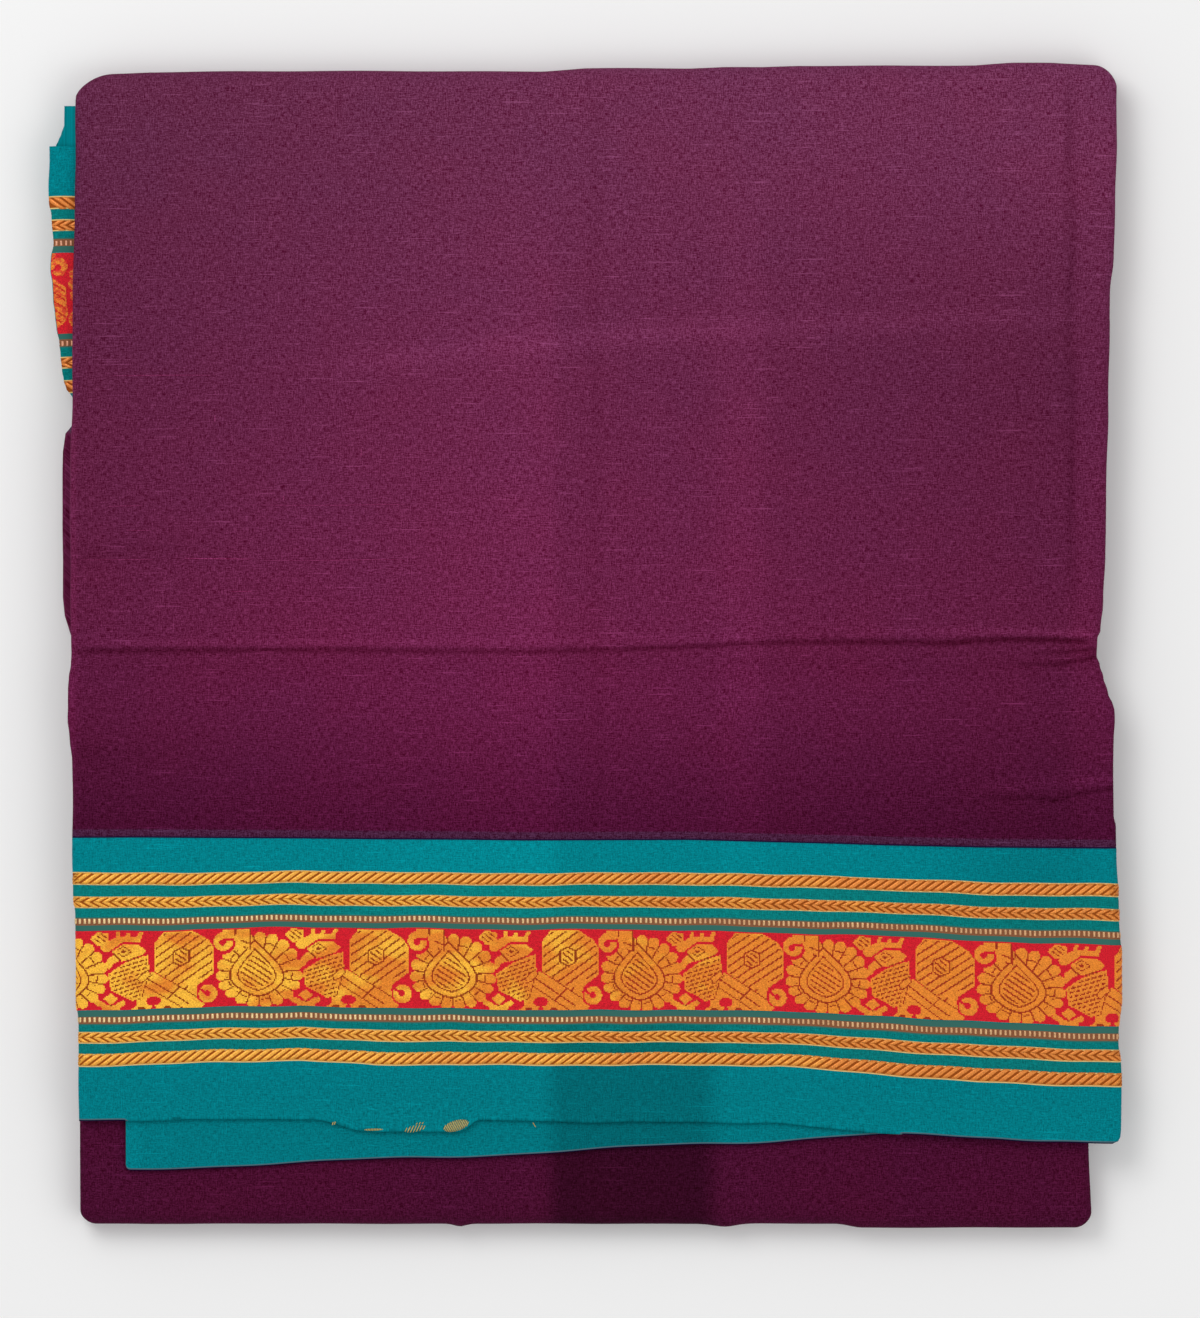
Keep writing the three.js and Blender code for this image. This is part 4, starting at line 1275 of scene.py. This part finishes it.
def inner_border():
    at = np.linspace(0.5, BORDER_WIDTH - 0.8, 90)
    u, down = np.meshgrid(np.concatenate([np.linspace(0, 5, 14), np.linspace(6, 24, 12)]), at)
    piece = sheet_mesh("inner_border", on_peep(u, down, 0.0), u, down)
    colour_and_dress(piece, inner_tone, TEAL, "border_cloth", "inner_border")
    extras = thread_lines("inner", *PEEP_SHOWN, on_peep, WORN_GOLD, WORN_PALE)
    extras.append(figured_band("inner_band", *PEEP_SHOWN, on_peep, FIGURED_WORN))


def inner_border_under():
    y, share = np.meshgrid(np.linspace(PEEP_BEHIND[0][0], PEEP_BEHIND[-1][0], 30), np.linspace(0, 1, 18))
    x = mix(read(PEEP_BEHIND, y) + wave(y, 0.2, 2.7), PEEP_TUCK, share)
    z = LOWER_HEIGHT - 1.65 + wave(y, 0.1, 5)
    piece = sheet_mesh("inner_border_under", np.stack([x, y, z], -1), x, np.full_like(y, 85.0), outward=-1)
    # Darker: painted shade on the layer behind
    colour_and_dress(piece, lambda co: inner_tone(co) * 0.9, TEAL, "border_cloth", "inner_border_under")


# The hidden layers: leaves of folded cloth whose edges show at the sides
LEAVES_BELOW, LEAVES_ABOVE = 15, 5
LEAF_PLACES, LEAF_PROFILE = 250, 8
LEAF_REACH = 26.0
LEAF_CORNER = 7.0
LEAF_CLEAR = 0.9
# Room under and over the lower leaves, and under and over the upper ones
FLOOR_CLEAR, LOWER_CLEAR = 0.95, 1.7
UPPER_CLEAR, TOP_CLEAR = 0.3, 0.7
# Where the top slopes, the upper leaves stay this far under the cloth and this far apart
SLOPE_CLEAR, SLOPE_STEP = 0.75, 0.55
# Some leaves are pushed out at the left, between these y, with so soft an end each, so far, at this height
BULGE = {"from": -7, "to": 78, "ease": (22, 8), "reach": 5.0, "height": 8, "spread": 2.1}


def into_fold(radius, z):
    """How far a leaf at z reaches into a big fold."""
    room = radius - WALL - GAP - LEAF_CLEAR
    return room * math.sqrt(max(0, 1 - ((z - radius) / (room + 1)) ** 2))


def bulge(y, z):
    low_end, high_end = BULGE["ease"]
    swelling = smooth((y - BULGE["from"]) / low_end) * smooth((BULGE["to"] - y) / high_end)
    return swelling * hump(z, BULGE["height"], BULGE["spread"])


def leaf_outline(z, upper, uneven, phases):
    """A leaf's outer edge from above, once round the pack from its lower left corner."""
    inset = uneven.uniform(0.6, 2.6)
    if upper:
        bottom, top = LEDGE["from"] + 1 + uneven.uniform(0, 3), TOP_FOLD_Y - 2
    else:
        bottom, top = BOTTOM_FOLD_Y - into_fold(BOTTOM_FOLD, z), TOP_FOLD_Y + into_fold(TOP_FOLD, z)
    turn = np.arange(LEAF_PLACES) / LEAF_PLACES * 4
    side = turn.astype(int)
    share = turn - side
    sides = [side == 0, side == 1, side == 2]
    y = mix(bottom, top, np.select(sides, [0, share, 1], 1 - share))
    near = np.maximum(0, LEAF_CORNER - np.minimum(y - bottom, top - y))
    cut = LEAF_CORNER - np.sqrt(np.maximum(0, LEAF_CORNER**2 - near * near))
    wander = wave(y, 0.5, 31, phases[0]) + wave(y, 0.3, 9, phases[1]) + wave(y, 0.15, 3.1, phases[2])
    left = np.maximum(lower_left(y), front_left(y)) + inset + wander + cut
    if not upper:
        left = mix(left, lower_left(y) - BULGE["reach"] + 0.3 * wander, bulge(y, z))
    right_inset = LEFT_CURL["radius"] + 2.2 + inset + np.abs(wander)
    right = np.minimum(lower_right(y), front_right(y)) - right_inset - cut
    x = np.select(sides, [mix(left, right, share), right, mix(right, left, share)], left)
    return np.stack([x, y], -1)


def leaf(z, thick, index, upper):
    """One folded layer as a flat ring: its outer edge is a fold, and its inner edge lies hidden."""
    deselect()
    bpy.ops.mesh.primitive_torus_add(
        major_segments=LEAF_PLACES, minor_segments=LEAF_PROFILE, major_radius=1, minor_radius=0.25
    )
    piece = bpy.context.object
    uneven = np.random.default_rng(100 + index)
    phases = uneven.uniform(0, 6.3, 6)
    outline = leaf_outline(z, upper, uneven, phases)
    x, y = outline.T
    way = np.roll(outline, -1, 0) - np.roll(outline, 1, 0)
    way = way / np.maximum(np.linalg.norm(way, axis=1, keepdims=True), 1e-6)
    outward = np.stack([way[:, 1], -way[:, 0]], -1)
    angle = np.arange(LEAF_PROFILE) / LEAF_PROFILE * 2 * np.pi
    half = thick / 2
    hidden = -half - LEAF_REACH * np.abs(np.cos(angle)) ** 0.6
    reach = np.where(np.cos(angle) > 0, np.cos(angle) * half - half, hidden)
    middle = z + wave(y, 0.12 * thick, 23, phases[3]) + wave(x, 0.1 * thick, 19, phases[4])
    if upper:
        ceiling = crown(y) - side_fall(x, y) - WALL - SLOPE_CLEAR - half
        middle = np.minimum(middle, ceiling - (LEAVES_ABOVE - 1 - index) * SLOPE_STEP)
    points = np.empty((LEAF_PLACES, LEAF_PROFILE, 3))
    points[..., :2] = outline[:, None, :] + outward[:, None, :] * reach[None, :, None]
    points[..., 2] = middle[:, None] + np.sin(angle) * half
    set_points(piece.data, points)
    return piece


def leaf_tone(co):
    """Plum, but turquoise, gold and red where the layers' borders lie, all darkened by painted shade between
    the layers.
    """
    x, y, z = co.T
    tone = plum_tone(x, np.full(len(y), 20.0)) * 0.8
    front = z > LOWER_HEIGHT
    at = np.where(front, JUNCTION_Y - y, y - INNER_JUNCTION_Y)
    in_border = (at > 0) & (at < BORDER_WIDTH) & (front | (z > 7.2))
    tone[in_border] = np.array(TEAL_LOW) * 0.85
    gold, red = np.array(GOLD_RIGHT) * 0.75, np.array(shade(205, 84, 44)) * 0.8
    for line, colour in [(line, gold) for line in ROPES + CHEVRONS + DOTS] + [(BAND, red)]:
        tone[in_border & (at > line["at"]) & (at < line["at"] + line["wide"])] = colour
    return tone


def folded_layers():
    step = (LOWER_HEIGHT - FLOOR_CLEAR - LOWER_CLEAR) / LEAVES_BELOW
    leaves = [leaf(FLOOR_CLEAR + step * (i + 0.5), step * 0.94, i, False) for i in range(LEAVES_BELOW)]
    above = (PACK["height"] - WALL - TOP_CLEAR - LOWER_HEIGHT - UPPER_CLEAR) / LEAVES_ABOVE
    for i in range(LEAVES_ABOVE):
        leaves.append(leaf(LOWER_HEIGHT + UPPER_CLEAR + above * (i + 0.5), above * 0.9, i, True))
    piece = join(leaves, "folded_layers")
    piece.data.shade_smooth()
    x, y, z = points_of(piece).T
    lay_uv(piece.data, x + y, 230 + z)
    return colour_and_dress(piece, leaf_tone, PLUM, "layered_edges", "folded_layers")


# The camera, straight above
PHOTO = {"wide": 1200, "tall": 1318, "mm_per_pixel": 0.335, "centre_x": 585, "centre_y": 647.5}
CAMERA_HEIGHT = 5.0


def camera():
    tall = PHOTO["tall"] * PHOTO["mm_per_pixel"] * MM
    data = bpy.data.cameras.new("camera")
    data.sensor_width = 36
    data.lens = 36 * (CAMERA_HEIGHT - PACK["height"] * MM) / tall
    data.clip_start = 0.1
    made = bpy.data.objects.new("camera", data)
    bpy.context.scene.collection.objects.link(made)
    x = (PHOTO["wide"] / 2 - PHOTO["centre_x"]) * PHOTO["mm_per_pixel"] * MM
    y = (PHOTO["centre_y"] - PHOTO["tall"] / 2) * PHOTO["mm_per_pixel"] * MM
    made.location = (x, y, CAMERA_HEIGHT)
    bpy.context.scene.camera = made


def lamp(name, place, size, power):
    """A soft square light, turned to the pack."""
    data = bpy.data.lights.new(name, "AREA")
    data.size = size
    data.energy = power
    made = bpy.data.objects.new(name, data)
    bpy.context.scene.collection.objects.link(made)
    made.location = place
    made.rotation_mode = "QUATERNION"
    made.rotation_quaternion = (-Vector(place)).to_track_quat("-Z", "Y")


def studio():
    deselect()
    bpy.ops.mesh.primitive_plane_add(size=6)
    floor = bpy.context.object
    floor.name = "floor"
    made, shader = material("pale_floor", 0.9)
    shader.inputs["Base Color"].default_value = (0.9, 0.9, 0.9, 1)
    floor.data.materials.append(made)
    floor.location = (0, 0, -0.0002)
    world = bpy.data.worlds.new("studio")
    bpy.context.scene.world = world
    world.use_nodes = True
    world.node_tree.nodes["Background"].inputs["Color"].default_value = (1, 1, 1, 1)
    world.node_tree.nodes["Background"].inputs["Strength"].default_value = 0.62
    lamp("key", (-0.7, 0.9, 1.6), 1.0, 13)
    lamp("fill", (0.9, -0.5, 1.5), 1.2, 5)
    bpy.context.scene.view_settings.view_transform = "Standard"


camera()
studio()
front_field()
front_border()
second_border()
lower_field()
back_field()
inner_border()
inner_border_under()
folded_layers()
